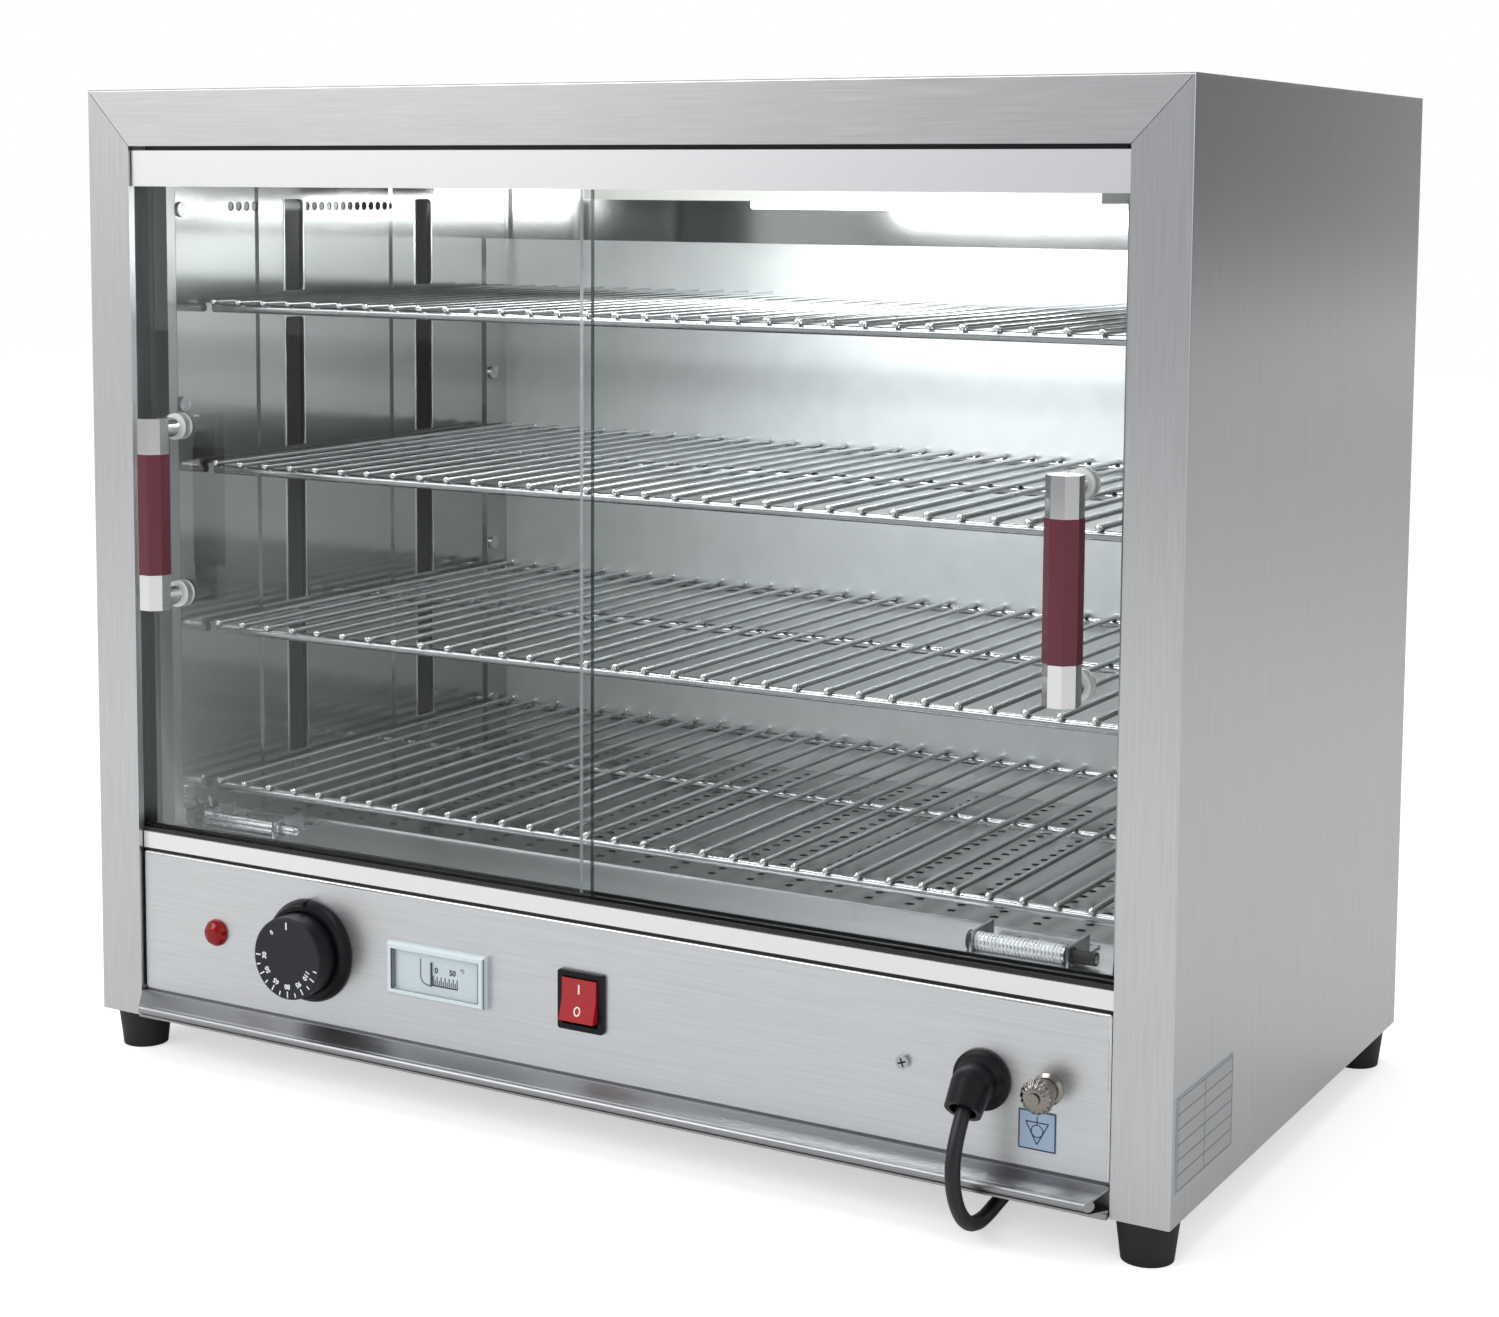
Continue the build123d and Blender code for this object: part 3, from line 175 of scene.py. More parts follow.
def glass_material(name, tint, edge_tint_with_painted_light):
    """Thin clear glass: see-through with a mirror-like sheen, and a given colour where cut edges show, which
    mixes the glass's green with painted shade for one pane and painted highlight for the other.
    """
    material, tree = new_material(name)
    shape = add(tree, "ShaderNodeNewGeometry")
    parts = add(tree, "ShaderNodeSeparateXYZ", {0: shape.outputs["True Normal"]})
    facing = add(tree, "ShaderNodeMath", {0: parts.outputs["Y"]}, operation="ABSOLUTE")
    is_edge = add(tree, "ShaderNodeMath", {0: facing.outputs[0], 1: pane_face_limit}, operation="LESS_THAN")
    clear = add(tree, "ShaderNodeBsdfTransparent", {"Color": linear(tint)})
    sheen = add(tree, "ShaderNodeBsdfGlossy", {"Color": (0.94, 0.96, 0.96, 1), "Roughness": 0.01})
    angle = add(tree, "ShaderNodeFresnel", {"IOR": 1.45})
    weaker = add(tree, "ShaderNodeMath", {0: angle.outputs[0], 1: glass_sheen_share}, operation="MULTIPLY")
    face = add(tree, "ShaderNodeMixShader", {0: weaker.outputs[0], 1: clear.outputs[0], 2: sheen.outputs[0]})
    edge = add(
        tree,
        "ShaderNodeBsdfPrincipled",
        {"Base Color": linear(edge_tint_with_painted_light), "Roughness": 0.25, "Alpha": 0.85, "Specular IOR Level": 0.4},
    )
    both = add(tree, "ShaderNodeMixShader", {0: is_edge.outputs[0], 1: face.outputs[0], 2: edge.outputs[0]})
    add(tree, "ShaderNodeOutputMaterial", {"Surface": both.outputs[0]})
    return material


# Real materials of the cabinet. The numbers are roughness and metallic.
upright_grain = ((1500.0, 1500.0, 22.0), 0.06)
level_grain = ((22.0, 1500.0, 1500.0), 0.06)
soft_patches = ((9.0, 6.0, 5.0), 0.05)
fine_speckle = ((1500.0, 1500.0, 1500.0), 0.06)
satin_upright = plain("satin stainless steel, upright grain", "#CDCECF", 0.30, 1.0, upright_grain)
satin_level = plain("satin stainless steel, level grain", "#D6D6D6", 0.32, 1.0, level_grain)
# The gutter's steel is painted darker than the other satin steel, as painted shade on its sloping face
shaded_satin_gutter = plain("satin stainless steel, gutter", "#A3A4A6", 0.34, 1.0, level_grain)
satin_panel = plain("satin stainless steel, control panel", "#D7D9DB", 0.36, 1.0, level_grain)
# The inner linings are painted darker than the outer steel, as painted shade inside the cabinet
lining_in_painted_shade = plain("bright stainless steel lining", "#A3A4A3", 0.11, 1.0, soft_patches)
jamb_sheet = plain("satin stainless steel, door jamb", "#A2A4A4", 0.28, 1.0)
bright_back = plain("bright stainless steel back lining", "#E0E4E4", 0.5, 0.6, ((60.0, 60.0, 60.0), 0.03))
bright_strip = plain("polished stainless steel strip", "#F6F6F7", 0.34, 1.0)
# The wires are painted darker than bright steel, as painted shade inside the cabinet
wire_in_painted_shade = plain("bright wire", "#A9ABAC", 0.2, 1.0)
plain_steel = plain("plain steel", "#BDBEC0", 0.28, 1.0, ((200.0, 200.0, 200.0), 0.08))
floor_steel = plain("perforated stainless floor", "#ABACAC", 0.16, 1.0, ((25.0, 10.0, 25.0), 0.04))
polished_chrome = plain("polished chrome", "#E6E6E6", 0.09, 1.0)
# Chrome painted darker and brownish as the dark surroundings it mirrors: a painted reflection
chrome_darkened_as_reflection = plain("chrome with painted dark reflection", "#96918B", 0.16, 1.0)
brass = plain("brass", "#C9B37A", 0.3, 1.0)
black_track = plain("black track moulding", "#17171A", 0.38)
black_plastic = plain("black moulded plastic", "#0F0E14", 0.38, 0.0, fine_speckle, Specular_IOR_Level=0.25)
slate_plastic = plain("slate grey plastic", "#25262E", 0.46, Specular_IOR_Level=0.3)
burgundy = plain("burgundy grip", "#5E0F28", 0.3, Coat_Weight=0.35, Coat_Roughness=0.2)
red_lens = plain(
    "red lens",
    "#820006",
    0.08,
    Specular_IOR_Level=0.4,
    Emission_Color=linear("#E00010"),
    Emission_Strength=0.05,
)
red_rocker = plain(
    "red rocker plastic",
    "#A40C1A",
    0.2,
    Coat_Weight=0.3,
    Emission_Color=linear("#E02030"),
    Emission_Strength=0.04,
)
pale_case = plain("pale blue instrument case", "#DCE8ED", 0.25)
# Grey painted shade, laid on the thermometer's recess walls, bent edge and right side
case_shade = plain("grey painted shade on the instrument", "#6B7782", 0.3)
ink = plain("dark print", "#1E2433", 0.6)
white_print = plain("white print", "#F2F5F5", 0.5)
symbol_ground = plain("blue-grey plate", "#A3B8CF", 0.5)
symbol_ink = plain("blue print", "#26385A", 0.5)
plate_ground = plain("grey plate", "#A9ABAD", 0.45)
plate_ink = plain("grey print", "#4C5056", 0.5)
pale_washer = plain("pale nylon", "#E4E6E6", 0.35)
rubber = plain("black rubber", "#121214", 0.55)
cord_rubber = plain("black cord sheath", "#141219", 0.42)
lit_diffuser = plain("lit diffuser", "#FFFFFF", 0.5, Emission_Color=(1, 1, 1, 1), Emission_Strength=2.5)
painted_white = plain("white enamel", "#D8D8D4", 0.4)
# The front pane's cut edges are painted dark as shade, the rear pane's pale as a painted highlight
clear_glass = glass_material("toughened glass", "#FEFFFF", "#24403A")
rear_glass = glass_material("toughened glass, rear pane", "#FEFFFF", "#AFC4BE")
scale_window = glass_material("scale window", "#FFFFFF", "#FFFFFF")

looks = {
    satin_upright: "left_side_panel right_side_panel",
    satin_level: "top_panel back_panel base_pan",
    shaded_satin_gutter: "front_gutter",
    satin_panel: "control_panel",
    lining_in_painted_shade: "left_liner right_liner ceiling_liner shelf_uprights",
    jamb_sheet: "door_jambs",
    bright_back: "back_liner",
    bright_strip: "header_strip door_sill",
    wire_in_painted_shade: "shelf_1 shelf_2 shelf_3 shelf_4",
    plain_steel: "shelf_clips feeler_bulbs feeler_brackets screws element_brackets heating_elements "
    "thermostat_spindle",
    floor_steel: "floor_plate",
    polished_chrome: "left_handle_ends right_handle_ends",
    chrome_darkened_as_reflection: "bonding_nut bonding_stud",
    brass: "plug_pins",
    black_track: "bottom_track top_track",
    black_plastic: "thermostat_bezel thermostat_body switch_body cord_gland indicator_holder plug",
    slate_plastic: "thermostat_knob",
    burgundy: "left_handle_grip right_handle_grip",
    pale_washer: "left_handle_fixings right_handle_fixings",
    clear_glass: "left_door_glass",
    rear_glass: "right_door_glass",
    scale_window: "thermometer_window",
    red_lens: "indicator_lens",
    red_rocker: "switch_rocker",
    pale_case: "thermometer_case",
    ink: "thermometer_pointer",
    lit_diffuser: "light_diffuser",
    painted_white: "light_box terminal_block",
    symbol_ground: "label_plates",
    rubber: "rubber_feet",
    cord_rubber: "cord_lead cord_coil",
}
for material, names in looks.items():
    for name in names.split():
        node_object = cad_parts[name]
        node_object.data.materials.clear()
        node_object.data.materials.append(material)


def loft(form, rings, capped=True):
    """Join rings of points to a skin, closed at both ends unless told not to."""
    rows = [[form.verts.new(point) for point in points] for points in rings]
    for low, high in zip(rows, rows[1:]):
        for i in range(len(low)):
            j = (i + 1) % len(low)
            form.faces.new((low[i], low[j], high[j], high[i]))
    if capped:
        form.faces.new(rows[0])
        form.faces.new(rows[-1])


def prism(form, outline, depths):
    """A flat shape of (x, height) points between two distances behind the front."""
    loft(form, [[at(x, depth, height) for x, height in outline] for depth in depths])


def bar(form, start, end, width, depths):
    """A straight stroke on a face that looks to the front, between two (x, height) points."""
    run = Vector((end[0] - start[0], end[1] - start[1])).normalized() * (width / 2)
    side = Vector((-run.y, run.x))
    corners = [(start, side), (end, side), (end, -side), (start, -side)]
    prism(form, [(point[0] + offset.x, point[1] + offset.y) for point, offset in corners], depths)


def ring(centre, radius, across, upward, sides=32):
    """Points of a circle about a centre, in metres."""
    turns = [2 * pi * i / sides for i in range(sides)]
    return [centre + across * (radius * cos(turn)) + upward * (radius * sin(turn)) for turn in turns]


def turned(form, x, height, profile, sides=64, teeth=0, tooth=0.0, capped=True):
    """A round form about an axis to the front, through (radius, distance behind) points."""
    rows = []
    for radius, depth in profile:
        row = []
        for i in range(sides):
            turn = 2 * pi * i / sides
            reach = radius + (tooth * radius * cos(teeth * turn) if teeth else 0.0)
            row.append(at(x + reach * cos(turn), depth, height + reach * sin(turn)))
        rows.append(row)
    loft(form, rows, capped)


def rod(form, start, end, radius, sides=20):
    """A round bar between two points in metres; the radius is in millimetres."""
    along = (end - start).normalized()
    across = along.orthogonal().normalized()
    upward = along.cross(across)
    ends = [ring(place, radius * MM, across, upward, sides) for place in (start, end)]
    loft(form, ends)


# Height of raised print in millimetres, and how far its strokes are widened, as a share of its size
print_height = 0.05
print_boldness = 0.035


def words(form, text, size, place):
    """Raised characters, placed by a matrix: x to the right, y up, z out of the face, in millimetres."""
    curve = bpy.data.curves.new("characters", "FONT")
    curve.body = text
    curve.size = size
    curve.align_x = "CENTER"
    curve.align_y = "CENTER"
    curve.extrude = print_height
    curve.offset = print_boldness * size
    curve.resolution_u = 3
    holder = bpy.data.objects.new("characters", curve)
    mesh = bpy.data.meshes.new_from_object(holder)
    mesh.transform(place)
    form.from_mesh(mesh)
    bpy.data.meshes.remove(mesh)
    bpy.data.objects.remove(holder)
    bpy.data.curves.remove(curve)


def facing_front(x, depth, height, turn=0.0):
    """Matrix of a face that looks to the front, turned clockwise by some degrees."""
    outward = Matrix(((1, 0, 0), (0, 0, -1), (0, 1, 0))).to_4x4()
    swing = Matrix.Rotation(-radians(turn), 4, "Z")
    return Matrix.Translation(at(x, depth, height)) @ outward @ swing @ Matrix.Scale(MM, 4)


sharp_angle = radians(32)


def make(form, name, material, body, replaces=()):
    """Turn a form into a piece of the object that rides on a body."""
    bmesh.ops.recalc_face_normals(form, faces=form.faces)
    mesh = bpy.data.meshes.new(name)
    form.to_mesh(mesh)
    form.free()
    for polygon in mesh.polygons:
        polygon.use_smooth = True
    mesh.set_sharp_from_angle(angle=sharp_angle)
    mesh.materials.append(material)
    piece = bpy.data.objects.new(name, mesh)
    scene.collection.objects.link(piece)
    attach(piece, body)
    if replaces:
        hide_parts(*replaces)
    return piece


# Mains lead: the route of the part's tube, then a coil of half turns, then the tail into the plug
lead_points = [
    (233.4, -176.31, 80.61),
    (233.4, -199.51, 57.41),
    (233.4, -199.51, 26.94),
    (233.4, -176.31, 3.75),
    (225.4, -116.31, 3.75),
    (215.9, -18.31, 3.75),
    (210.9, 85.69, 3.75),
    (209.4, 177.69, 3.75),
]
coil_radii = [49.0, 44.9, 40.8, 36.7, 32.6, 36.7, 40.8, 44.9]
coil_climb = 4
coil_rise = 8.2
coil_steps = 8
tail_length = 44.0
spline_ease = 1.0097
coil_start = Vector((209.4, 260.43, 3.75))
cord_points = [Vector(point) for point in lead_points]
place = coil_start.copy()
heading = 1.0
for number, radius in enumerate(coil_radii):
    centre = place + Vector((-heading * radius, 0, 0))
    rise = coil_rise if number == coil_climb else 0.0
    for step in range(coil_steps):
        turn = pi * (step + 0.5) / coil_steps
        out = Vector((heading * cos(turn), heading * sin(turn), 0)) * (radius * spline_ease)
        cord_points.append(centre + out + Vector((0, 0, rise * (step + 0.5) / coil_steps)))
    place = place + Vector((-2 * heading * radius, 0, rise))
    heading = -heading
centre = place + Vector((-heading * coil_radii[0], 0, 0))
for step in range(coil_steps // 2):
    turn = pi * (step + 0.5) / coil_steps
    out = Vector((heading * cos(turn), heading * sin(turn), 0)) * (coil_radii[0] * spline_ease)
    cord_points.append(centre + out)
tail_start = centre + Vector((0, heading * coil_radii[0], 0))
tail_end = tail_start + Vector((-heading * tail_length, 0, 0))
cord_points.append(tail_start.lerp(tail_end, 0.2))
cord_points.append(tail_end)
cord_curve = bpy.data.curves.new("mains_cord", "CURVE")
cord_curve.dimensions = "3D"
cord_curve.bevel_depth = cord_radius * MM
cord_curve.bevel_resolution = 5
cord_curve.use_fill_caps = True
cord_curve.resolution_u = 8
cord_spline = cord_curve.splines.new("NURBS")
cord_spline.points.add(len(cord_points) - 1)
for spline_point, point in zip(cord_spline.points, cord_points):
    spline_point.co = (*(point * MM), 1.0)
cord_spline.order_u = 3
cord_spline.use_endpoint_u = True
cord_curve.materials.append(cord_rubber)
mains_cord = bpy.data.objects.new("mains_cord", cord_curve)
scene.collection.objects.link(mains_cord)
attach(mains_cord, "cabinet")
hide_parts("cord_lead", "cord_coil")

# White print on the knob: a mark for each step, longer where a number stands, and the off mark
mark_numbers = {1: "110", 3: "95", 5: "80", 7: "65", 9: "50", 11: "30"}
mark_count = 12
first_mark_turn = 102.0
mark_step = 15.27
long_mark_share, short_mark_share, mark_outer_share = 0.79, 0.83, 0.94
mark_width = 0.75
number_share, number_size = 0.67, 3.9
index_mark_shares, index_mark_width = (0.72, 0.90), 0.9
off_turn, off_share, off_size = -37, 0.74, 3.4
print_depths = (knob_face - 0.06, knob_face + 0.02)
marks = bmesh.new()


def knob_point(turn, share):
    """A point on the knob's face, by clockwise angle and share of its radius."""
    reach = knob_radius * share
    return (thermostat_x + reach * sin(radians(turn)), instrument_height + reach * cos(radians(turn)))


for i in range(mark_count):
    turn = first_mark_turn + mark_step * i
    inner = long_mark_share if i in mark_numbers else short_mark_share
    bar(marks, knob_point(turn, inner), knob_point(turn, mark_outer_share), mark_width, print_depths)
    if i in mark_numbers:
        x, height = knob_point(turn, number_share)
        words(marks, mark_numbers[i], number_size, facing_front(x, knob_face, height, turn))
index_start, index_end = [knob_point(0, share) for share in index_mark_shares]
bar(marks, index_start, index_end, index_mark_width, print_depths)
x, height = knob_point(off_turn, off_share)
words(marks, "0", off_size, facing_front(x, knob_face, height, off_turn))
make(marks, "knob_print", white_print, "thermostat_knob_body")

# Skirt of the knob, darker than its face
skirt_radius = knob_radius + 0.05
skirt_profile = [(knob_radius - 1.3, knob_face + 0.4), (skirt_radius, knob_face + 1.3), (skirt_radius, -0.4)]
skirt = bmesh.new()
turned(skirt, thermostat_x, instrument_height, skirt_profile, 96, capped=False)
make(skirt, "knob_skirt", black_plastic, "thermostat_knob_body")

# Moulded index line at the top of the bezel: a short run on its face, then one down its slope
index_low, index_bend, index_high = [(thermostat_x, instrument_height + rise) for rise in (24.4, 26.4, 29.1)]
index_width = 0.7
index_line = bmesh.new()
bar(index_line, index_low, index_bend, index_width, (-4.25, -3.6))
bar(index_line, index_bend, index_high, index_width, (-3.6, 2.9))
make(index_line, "bezel_index", rubber, "cabinet")

# Thermometer: the scale's marks and numbers on the dial
dial_depths = (1.72, 1.82)
dial_print_depth = 1.75
scale_mark_count = 13
scale_start = -92.6
scale_step = 1.33
scale_foot = -6.2
scale_print = bmesh.new()


def dial_line(form, start, end, width, depths=dial_depths):
    """A stroke on the dial between two points, each (x, height from the middle of the dial)."""
    heights = (instrument_height + start[1], instrument_height + end[1])
    bar(form, (start[0], heights[0]), (end[0], heights[1]), width, depths)


for i in range(scale_mark_count):
    x = scale_start + scale_step * i
    tip = -1.2 if i % 2 == 0 else -3.4
    dial_line(scale_print, (x, scale_foot), (x, tip), 0.65)
dial_line(scale_print, (-93.2, -6.5), (-76.2, -6.5), 0.7)
dial_line(scale_print, (-93.3, -6.5), (-93.3, 6.6), 0.45)
for text, size, x, rise in (("0", 4.3, -90.4, 2.0), ("50", 4.3, -79.7, 2.0), ("°C", 2.4, -73.2, 4.2)):
    words(scale_print, text, size, facing_front(x, dial_print_depth, instrument_height + rise))
make(scale_print, "scale_print", ink, "cabinet")

# Grey shading of the thermometer: the bent edge of the dial's opening, both inner walls and the right side
case_side = (-58.8, -57.35)
case_low, case_high = 42.9, 70.1
case_shading = bmesh.new()
bend = [(-101.0, 7.2), (-101.0, -3.0), (-99.6, -5.6), (-97.0, -6.8), (-93.3, -7.2)]
for start, end in zip(bend, bend[1:]):
    dial_line(case_shading, start, end, 0.9, (1.7, 1.8))
for x in (-118.3, -61.3):
    dial_line(case_shading, (x, -10.9), (x, 10.9), 0.8, (-0.6, 1.8))
case_corners = [
    (case_side[0], case_low),
    (case_side[1], case_low),
    (case_side[1], case_high),
    (case_side[0], case_high),
]
prism(case_shading, case_corners, (-1.0, 2.9))
make(case_shading, "case_shading", case_shade, "cabinet")

# Marks of the rocker, on its two sloping halves
rocker_pivot_depth = 6.0
rocker_tilt = radians(-9.0)
rocker_half_height = 11.3
rocker_middle_reach = 6.8
rocker_hollow = 1.4
rocker_print_lifts = (-0.1, 0.07)
switch_x = middle("switch_rocker", ACROSS)


def on_rocker(x, upward, out):
    """A point by the rocker's own directions, up and outwards from its pivot."""
    turned_out = out * cos(rocker_tilt) + upward * sin(rocker_tilt)
    turned_up = -out * sin(rocker_tilt) + upward * cos(rocker_tilt)
    return at(x, rocker_pivot_depth - turned_out, instrument_height + turned_up)


def rocker_face(upward):
    """How far the face stands out from the pivot at this height on the rocker."""
    return rocker_middle_reach + rocker_hollow * abs(upward) / rocker_half_height


def rocker_stroke(form, points, width):
    """A stroke through (x, height) points laid on the rocker's face."""
    for (x0, h0), (x1, h1) in zip(points, points[1:]):
        run = Vector((x1 - x0, h1 - h0)).normalized() * (width / 2)
        side = Vector((-run.y, run.x))
        corners = [
            (x0 - side.x, h0 - side.y),
            (x1 - side.x, h1 - side.y),
            (x1 + side.x, h1 + side.y),
            (x0 + side.x, h0 + side.y),
        ]
        layers = []
        for lift in rocker_print_lifts:
            layers.append([on_rocker(switch_x + x, h, rocker_face(h) + lift) for x, h in corners])
        loft(form, layers)


def oval(middle, half_width, half_height, sides):
    """Points of a closed oval about (0, middle), the first one given again at the end."""
    turns = [2 * pi * i / sides for i in range(sides + 1)]
    return [(half_width * cos(turn), middle + half_height * sin(turn)) for turn in turns]


rocker_print = bmesh.new()
rocker_stroke(rocker_print, [(0, 3.4), (0, 8.4)], 0.9)
rocker_stroke(rocker_print, oval(-5.6, 1.7, 2.2, 20), 0.75)
make(rocker_print, "rocker_print", white_print, "rocker")

# Bonding symbol: a ruled border, a triangle on its point, a circle and a short line
symbol_x, symbol_height, symbol_half = 262.4, 34.9, 9.7
symbol_depths = (2.52, 2.62)
symbol = bmesh.new()


def symbol_lines(points, width):
    """Strokes between points measured from the middle of the symbol plate."""
    for (x0, h0), (x1, h1) in zip(points, points[1:]):
        start = (symbol_x + x0, symbol_height + h0)
        bar(symbol, start, (symbol_x + x1, symbol_height + h1), width, symbol_depths)


edge = symbol_half - 0.35
symbol_lines([(-edge, -edge), (edge, -edge), (edge, edge), (-edge, edge), (-edge, -edge)], 0.7)
symbol_lines([(-5.9, 4.0), (5.9, 4.0), (0, -6.8), (-5.9, 4.0)], 0.6)
symbol_lines([(0, 2.7), (0, 7.0)], 0.55)
symbol_lines(oval(-0.3, 3.0, 3.0, 28), 0.5)
make(symbol, "symbol_print", symbol_ink, "cabinet")

# Data plate on the right side: grey ground, ruled rows and columns, left without words
plate_side = ends("label_plates", ACROSS)[1]
plate_start, plate_stop = 6.0, ends("label_plates", BEHIND)[1]
plate_bottom, plate_top = ends("label_plates", ABOVE)
plate_margin = 1.0
plate_columns = (7.0, 43.0, 81.0)
plate_rows = 6
rule_half = 0.2
rule_side = plate_side + 0.09


def side_block(form, low, high, inner, outer):
    """A thin block on the right side, between (distance behind, height) corners."""
    corners = [(low[0], low[1]), (high[0], low[1]), (high[0], high[1]), (low[0], high[1])]
    loft(form, [[at(x, depth, height) for depth, height in corners] for x in (inner, outer)])


ground = bmesh.new()
side_block(ground, (plate_start, plate_bottom), (plate_stop, plate_top), plate_side, plate_side + 0.05)
make(ground, "data_plate_ground", plate_ground, "cabinet")
ruled = bmesh.new()
row_height = (plate_top - plate_bottom - 2 * plate_margin) / plate_rows
for i in range(plate_rows + 1):
    height = plate_bottom + plate_margin + i * row_height
    row_start = (plate_columns[0], height - rule_half)
    row_end = (plate_columns[-1], height + rule_half)
    side_block(ruled, row_start, row_end, plate_side, rule_side)
for depth in plate_columns:
    column_start = (depth - rule_half, plate_bottom + plate_margin)
    column_end = (depth + rule_half, plate_top - plate_margin)
    side_block(ruled, column_start, column_end, plate_side, rule_side)
make(ruled, "data_plate_rules", plate_ink, "cabinet")

# Rounded ends of the shelf wires, welded over the front and back rods
bead_radius = 2.0
for number, shelf_level in enumerate(reversed(shelf_levels), 1):
    beads = bmesh.new()
    for i in range(wire_count):
        x = -wire_half_span + 2 * wire_half_span * i / (wire_count - 1)
        for depth in wire_reach:
            spot = Matrix.Translation(at(x, depth, shelf_level + wire_height))
            bmesh.ops.create_icosphere(beads, subdivisions=2, radius=bead_radius * MM, matrix=spot)
    make(beads, f"shelf_{number}_wire_ends", polished_chrome, "cabinet")

# Folded edges down both sides of the air windows, from bridge to bridge, in the bright strip finish as a
# painted highlight
window_starts = (122.5, 252.5)
window_width = 17.0
lowest_bridge, highest_bridge = 109.0, 481.0
bridge_levels = [lowest_bridge] + shelf_levels + [highest_bridge]
bridge_half = 8
shortest_window = 24
fold_width = 0.9
fold_reach = (290.1, 291.2)
window_highlight_folds = bmesh.new()
for side in (-1, 1):
    for window_start in window_starts:
        for low, high in zip(bridge_levels, bridge_levels[1:]):
            if high - low < shortest_window:
                continue
            for depth in (window_start - fold_width, window_start + window_width):
                corners = [
                    (depth, low + bridge_half),
                    (depth + fold_width, low + bridge_half),
                    (depth + fold_width, high - bridge_half),
                    (depth, high - bridge_half),
                ]
                loft(window_highlight_folds, [[at(side * x, d, h) for d, h in corners] for x in fold_reach])
make(window_highlight_folds, "window_fold_highlights", bright_strip, "cabinet")

# Temperature feelers: a wound barrel with black end rings at the right, a capillary at the left
feeler_depth, feeler_height = 45.0, 109.5
winding_count = 24
winding_start = 209.0
winding_length = 47.0
winding_profile = [(4.15, -0.75), (4.75, -0.35), (4.75, 0.35), (4.15, 0.75)]
backward, skyward = Vector((0, 1, 0)), Vector((0, 0, 1))
windings = bmesh.new()
for i in range(winding_count):
    x = winding_start + winding_length * i / (winding_count - 1)
    centre = at(x, feeler_depth, feeler_height)
    rings = []
    for radius, shift in winding_profile:
        rings.append(ring(centre + Vector((shift * MM, 0, 0)), radius * MM, backward, skyward, 20))
    loft(windings, rings, capped=False)
make(windings, "feeler_windings", white_print, "cabinet")


def on_feeler(x):
    """A point on the axis of the feelers."""
    return at(x, feeler_depth, feeler_height)


end_rings = bmesh.new()
for start, length, radius in ((206.0, 3.0, 5.0), (258.5, 3.0, 5.0), (262.0, 12.0, 3.4)):
    rod(end_rings, on_feeler(start), on_feeler(start + length), radius)
make(end_rings, "feeler_end_rings", rubber, "cabinet")
capillary_radius = 0.9
capillary_bends = [
    (-288, 45, 109.5),
    (-289.5, 45, 111),
    (-289.8, 44, 116),
    (-288, 42, 121),
    (-283, 40, 123),
    (-280, 38, 119),
]
capillary = bmesh.new()
for start, end in zip(capillary_bends, capillary_bends[1:]):
    rod(capillary, at(*start), at(*end), capillary_radius, 10)
make(capillary, "feeler_capillary", wire_in_painted_shade, "cabinet")

# Knurled bonding nut in place of the plain one: fluted head, neck and flange
bonding_x = middle("bonding_nut", ACROSS)
nut_front = ends("bonding_nut", BEHIND)[0]
nut_bore = 3.1
neck_start = (6.4, nut_front + 6.2)
head_profile = [
    (nut_bore, nut_front),
    (5.4, nut_front + 0.1),
    (7.4, nut_front + 1.4),
    (8.3, nut_front + 3.4),
    (8.3, nut_front + 5.6),
    neck_start,
]
flange_radius = 7.9
neck_profile = [
    neck_start,
    (6.2, nut_front + 15.0),
    (flange_radius, nut_front + 16.2),
    (flange_radius, panel_front),
    (nut_bore, panel_front),
]
nut = bmesh.new()
turned(nut, bonding_x, instrument_height, head_profile, 144, teeth=18, tooth=0.035, capped=False)
turned(nut, bonding_x, instrument_height, neck_profile, 144, capped=False)
make(nut, "knurled_nut", chrome_darkened_as_reflection, "cabinet", ["bonding_nut"])

# Rounded folds along the top and the right end of the control panel, in a brighter polished finish that
# paints their highlight, and a black strip painted as the shadow in the gap under the sill
panel_half = ends("control_panel", ACROSS)[1]
panel_low, panel_high = ends("control_panel", ABOVE)
fold_inset = 0.9
fold_depth = panel_front + 0.5
fold_level = panel_high - fold_inset
fold_x = panel_half - fold_inset
# The folds are given polished chrome, brighter than the panel, as a painted highlight
panel_fold_highlight = bmesh.new()
rod(panel_fold_highlight, at(-panel_half + 1, fold_depth, fold_level), at(panel_half - 1, fold_depth, fold_level), 0.9)
rod(panel_fold_highlight, at(fold_x, fold_depth, panel_low + 1), at(fold_x, fold_depth, fold_level), 0.7)
make(panel_fold_highlight, "panel_fold_highlights", polished_chrome, "cabinet")
# A black strip painted as the shadow in the gap between the sill and the control panel
shadow_half, shadow_low, shadow_high = 300, 97.7, 99.2
shadow_corners = [
    (-shadow_half, shadow_low),
    (shadow_half, shadow_low),
    (shadow_half, shadow_high),
    (-shadow_half, shadow_high),
]
sill_gap_shadow = bmesh.new()
prism(sill_gap_shadow, shadow_corners, (4.2, 5.8))
make(sill_gap_shadow, "sill_gap_shadow_strip", rubber, "cabinet")

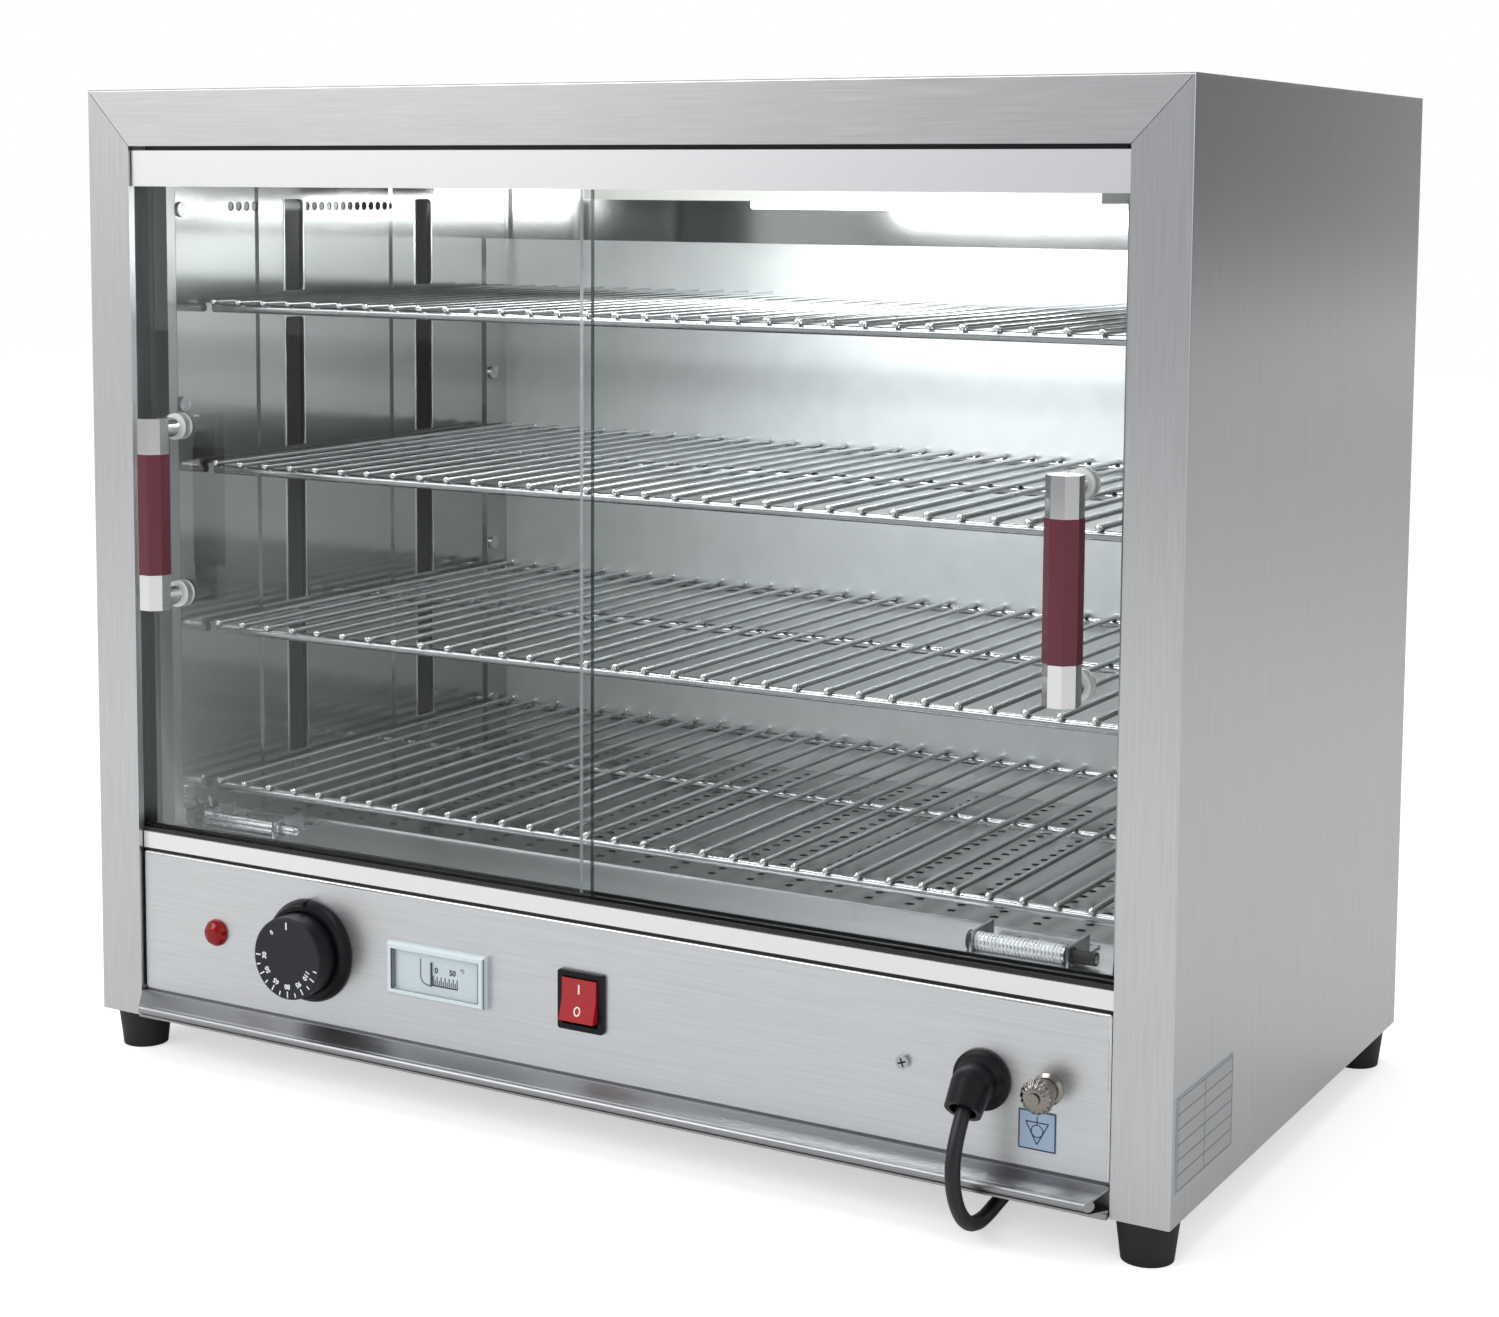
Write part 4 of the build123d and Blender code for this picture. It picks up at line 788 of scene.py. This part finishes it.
# Cross recesses of the panel screw and of the screws on the back, drawn as black marks of painted shade
panel_screw_x = 191.0
back_screw_x = 319.8
back_screw_heights = (40.0, 190.0, 340.0, 500.0)
recess_width = 0.9
panel_recess_half, panel_recess_depths = 2.3, (0.72, 0.82)
back_recess_half, back_recess_depths = 2.6, (365.58, 365.68)
recess_shade = bmesh.new()
for turn in (20, 110):
    reach = Vector((cos(radians(turn)), sin(radians(turn)))) * panel_recess_half
    start = (panel_screw_x - reach.x, instrument_height - reach.y)
    end = (panel_screw_x + reach.x, instrument_height + reach.y)
    bar(recess_shade, start, end, recess_width, panel_recess_depths)
for side in (-1, 1):
    for height in back_screw_heights:
        x = side * back_screw_x
        for run in ((back_recess_half, 0), (0, back_recess_half)):
            start = (x - run[0], height - run[1])
            bar(recess_shade, start, (x + run[0], height + run[1]), recess_width, back_recess_depths)
make(recess_shade, "screw_recess_shade", rubber, "cabinet")

# Studio, in metres: pale floor, and grey cards that mirror in the side, the top and the front
floor_half = 6.0
floor_grey = (0.86, 0.86, 0.86, 1)
floor_lift = 0.52
floor_corners = [
    (-floor_half, -floor_half, 0),
    (floor_half, -floor_half, 0),
    (floor_half, floor_half, 0),
    (-floor_half, floor_half, 0),
]
floor_mesh = bpy.data.meshes.new("studio_floor")
floor_mesh.from_pydata(floor_corners, [], [(0, 1, 2, 3)])
studio_floor = bpy.data.objects.new("studio_floor", floor_mesh)
scene.collection.objects.link(studio_floor)
floor_material, tree = new_material("pale studio floor")
path = add(tree, "ShaderNodeLightPath")
matt = add(tree, "ShaderNodeBsdfDiffuse", {"Color": floor_grey})
lift = add(tree, "ShaderNodeEmission", {"Color": (1, 1, 1, 1), "Strength": floor_lift})
seen = add(tree, "ShaderNodeAddShader", {0: matt.outputs[0], 1: lift.outputs[0]})
floor_choice = {0: path.outputs["Is Camera Ray"], 1: matt.outputs[0], 2: seen.outputs[0]}
floor_mix = add(tree, "ShaderNodeMixShader", floor_choice)
add(tree, "ShaderNodeOutputMaterial", {"Surface": floor_mix.outputs[0]})
floor_mesh.materials.append(floor_material)


def studio_card(name, corners, colour):
    """A flat card of an even grey that only mirrors in the metal."""
    card_mesh = bpy.data.meshes.new(name)
    card_mesh.from_pydata(corners, [], [(0, 1, 2, 3)])
    card = bpy.data.objects.new(name, card_mesh)
    scene.collection.objects.link(card)
    card_material, card_tree = new_material(name)
    grey = add(card_tree, "ShaderNodeEmission", {"Color": linear(colour), "Strength": 1.0})
    add(card_tree, "ShaderNodeOutputMaterial", {"Surface": grey.outputs[0]})
    card_mesh.materials.append(card_material)
    card.visible_camera = False
    card.visible_shadow = False
    card.visible_diffuse = False


side_corners = [(1.5, 0.1, 0.3), (1.5, 5.0, 0.3), (1.5, 5.0, 4.0), (1.5, 0.1, 4.0)]
top_corners = [(-3.0, -1.5, 2.2), (3.0, -1.5, 2.2), (3.0, 3.0, 2.2), (-3.0, 3.0, 2.2)]
front_corners = [(-1.5, -2.7, -0.5), (2.0, -2.7, -0.5), (2.0, -2.7, 3.0), (-1.5, -2.7, 3.0)]
studio_card("side_card", side_corners, "#5C5D60")
studio_card("top_card", top_corners, "#B9BBBE")
studio_card("front_card", front_corners, "#A2A4A8")

# World: white where the camera looks straight at it or through glass, slightly less in mirrors, dim as light
mirror_strength = 0.92
light_strength = 0.55
world = bpy.data.worlds.new("studio")
scene.world = world
world.use_nodes = True
tree = world.node_tree
tree.nodes.clear()
path = add(tree, "ShaderNodeLightPath")
seen_rays = {0: path.outputs["Is Camera Ray"], 1: path.outputs["Is Transmission Ray"]}
direct = add(tree, "ShaderNodeMath", seen_rays, operation="MAXIMUM")
mirror_rays = {0: path.outputs["Is Glossy Ray"], 1: mirror_strength}
mirrored = add(tree, "ShaderNodeMath", mirror_rays, operation="MULTIPLY")
bright = add(tree, "ShaderNodeMath", {0: direct.outputs[0], 1: mirrored.outputs[0]}, operation="MAXIMUM")
strength = add(tree, "ShaderNodeMath", {0: bright.outputs[0], 1: light_strength}, operation="MAXIMUM")
sky = add(tree, "ShaderNodeBackground", {"Color": (1, 1, 1, 1), "Strength": strength.outputs[0]})
add(tree, "ShaderNodeOutputWorld", {"Surface": sky.outputs[0]})


def lamp(name, place, target, size, power, mirrored_too=True):
    """A soft rectangular lamp aimed at a point. It may be kept out of mirrors."""
    data = bpy.data.lights.new(name, "AREA")
    data.shape = "RECTANGLE"
    data.size, data.size_y = size
    data.energy = power
    lamp_object = bpy.data.objects.new(name, data)
    lamp_object.location = place
    lamp_object.rotation_euler = (Vector(target) - Vector(place)).to_track_quat("-Z", "Y").to_euler()
    lamp_object.visible_glossy = mirrored_too
    scene.collection.objects.link(lamp_object)


lamp("key_lamp", (-1.4, -2.2, 1.9), (0, 0, 0.3), (1.6, 1.6), 28.0)
lamp("fill_lamp", (1.8, -2.0, 1.2), (0, 0, 0.25), (1.4, 1.4), 8.0, mirrored_too=False)
lamp("top_lamp", (0, 0.2, 2.4), (0, 0, 0.3), (2.0, 2.0), 18.0, mirrored_too=False)
diffuser_place = at(58, 300, 466)
lamp("cabinet_lamp", diffuser_place, diffuser_place + Vector((0, -0.05, -0.3)), (0.22, 0.04), 0.45)
lamp("back_wall_lamp", at(60, 40, 472), at(60, 350, 250), (0.42, 0.03), 1.3)
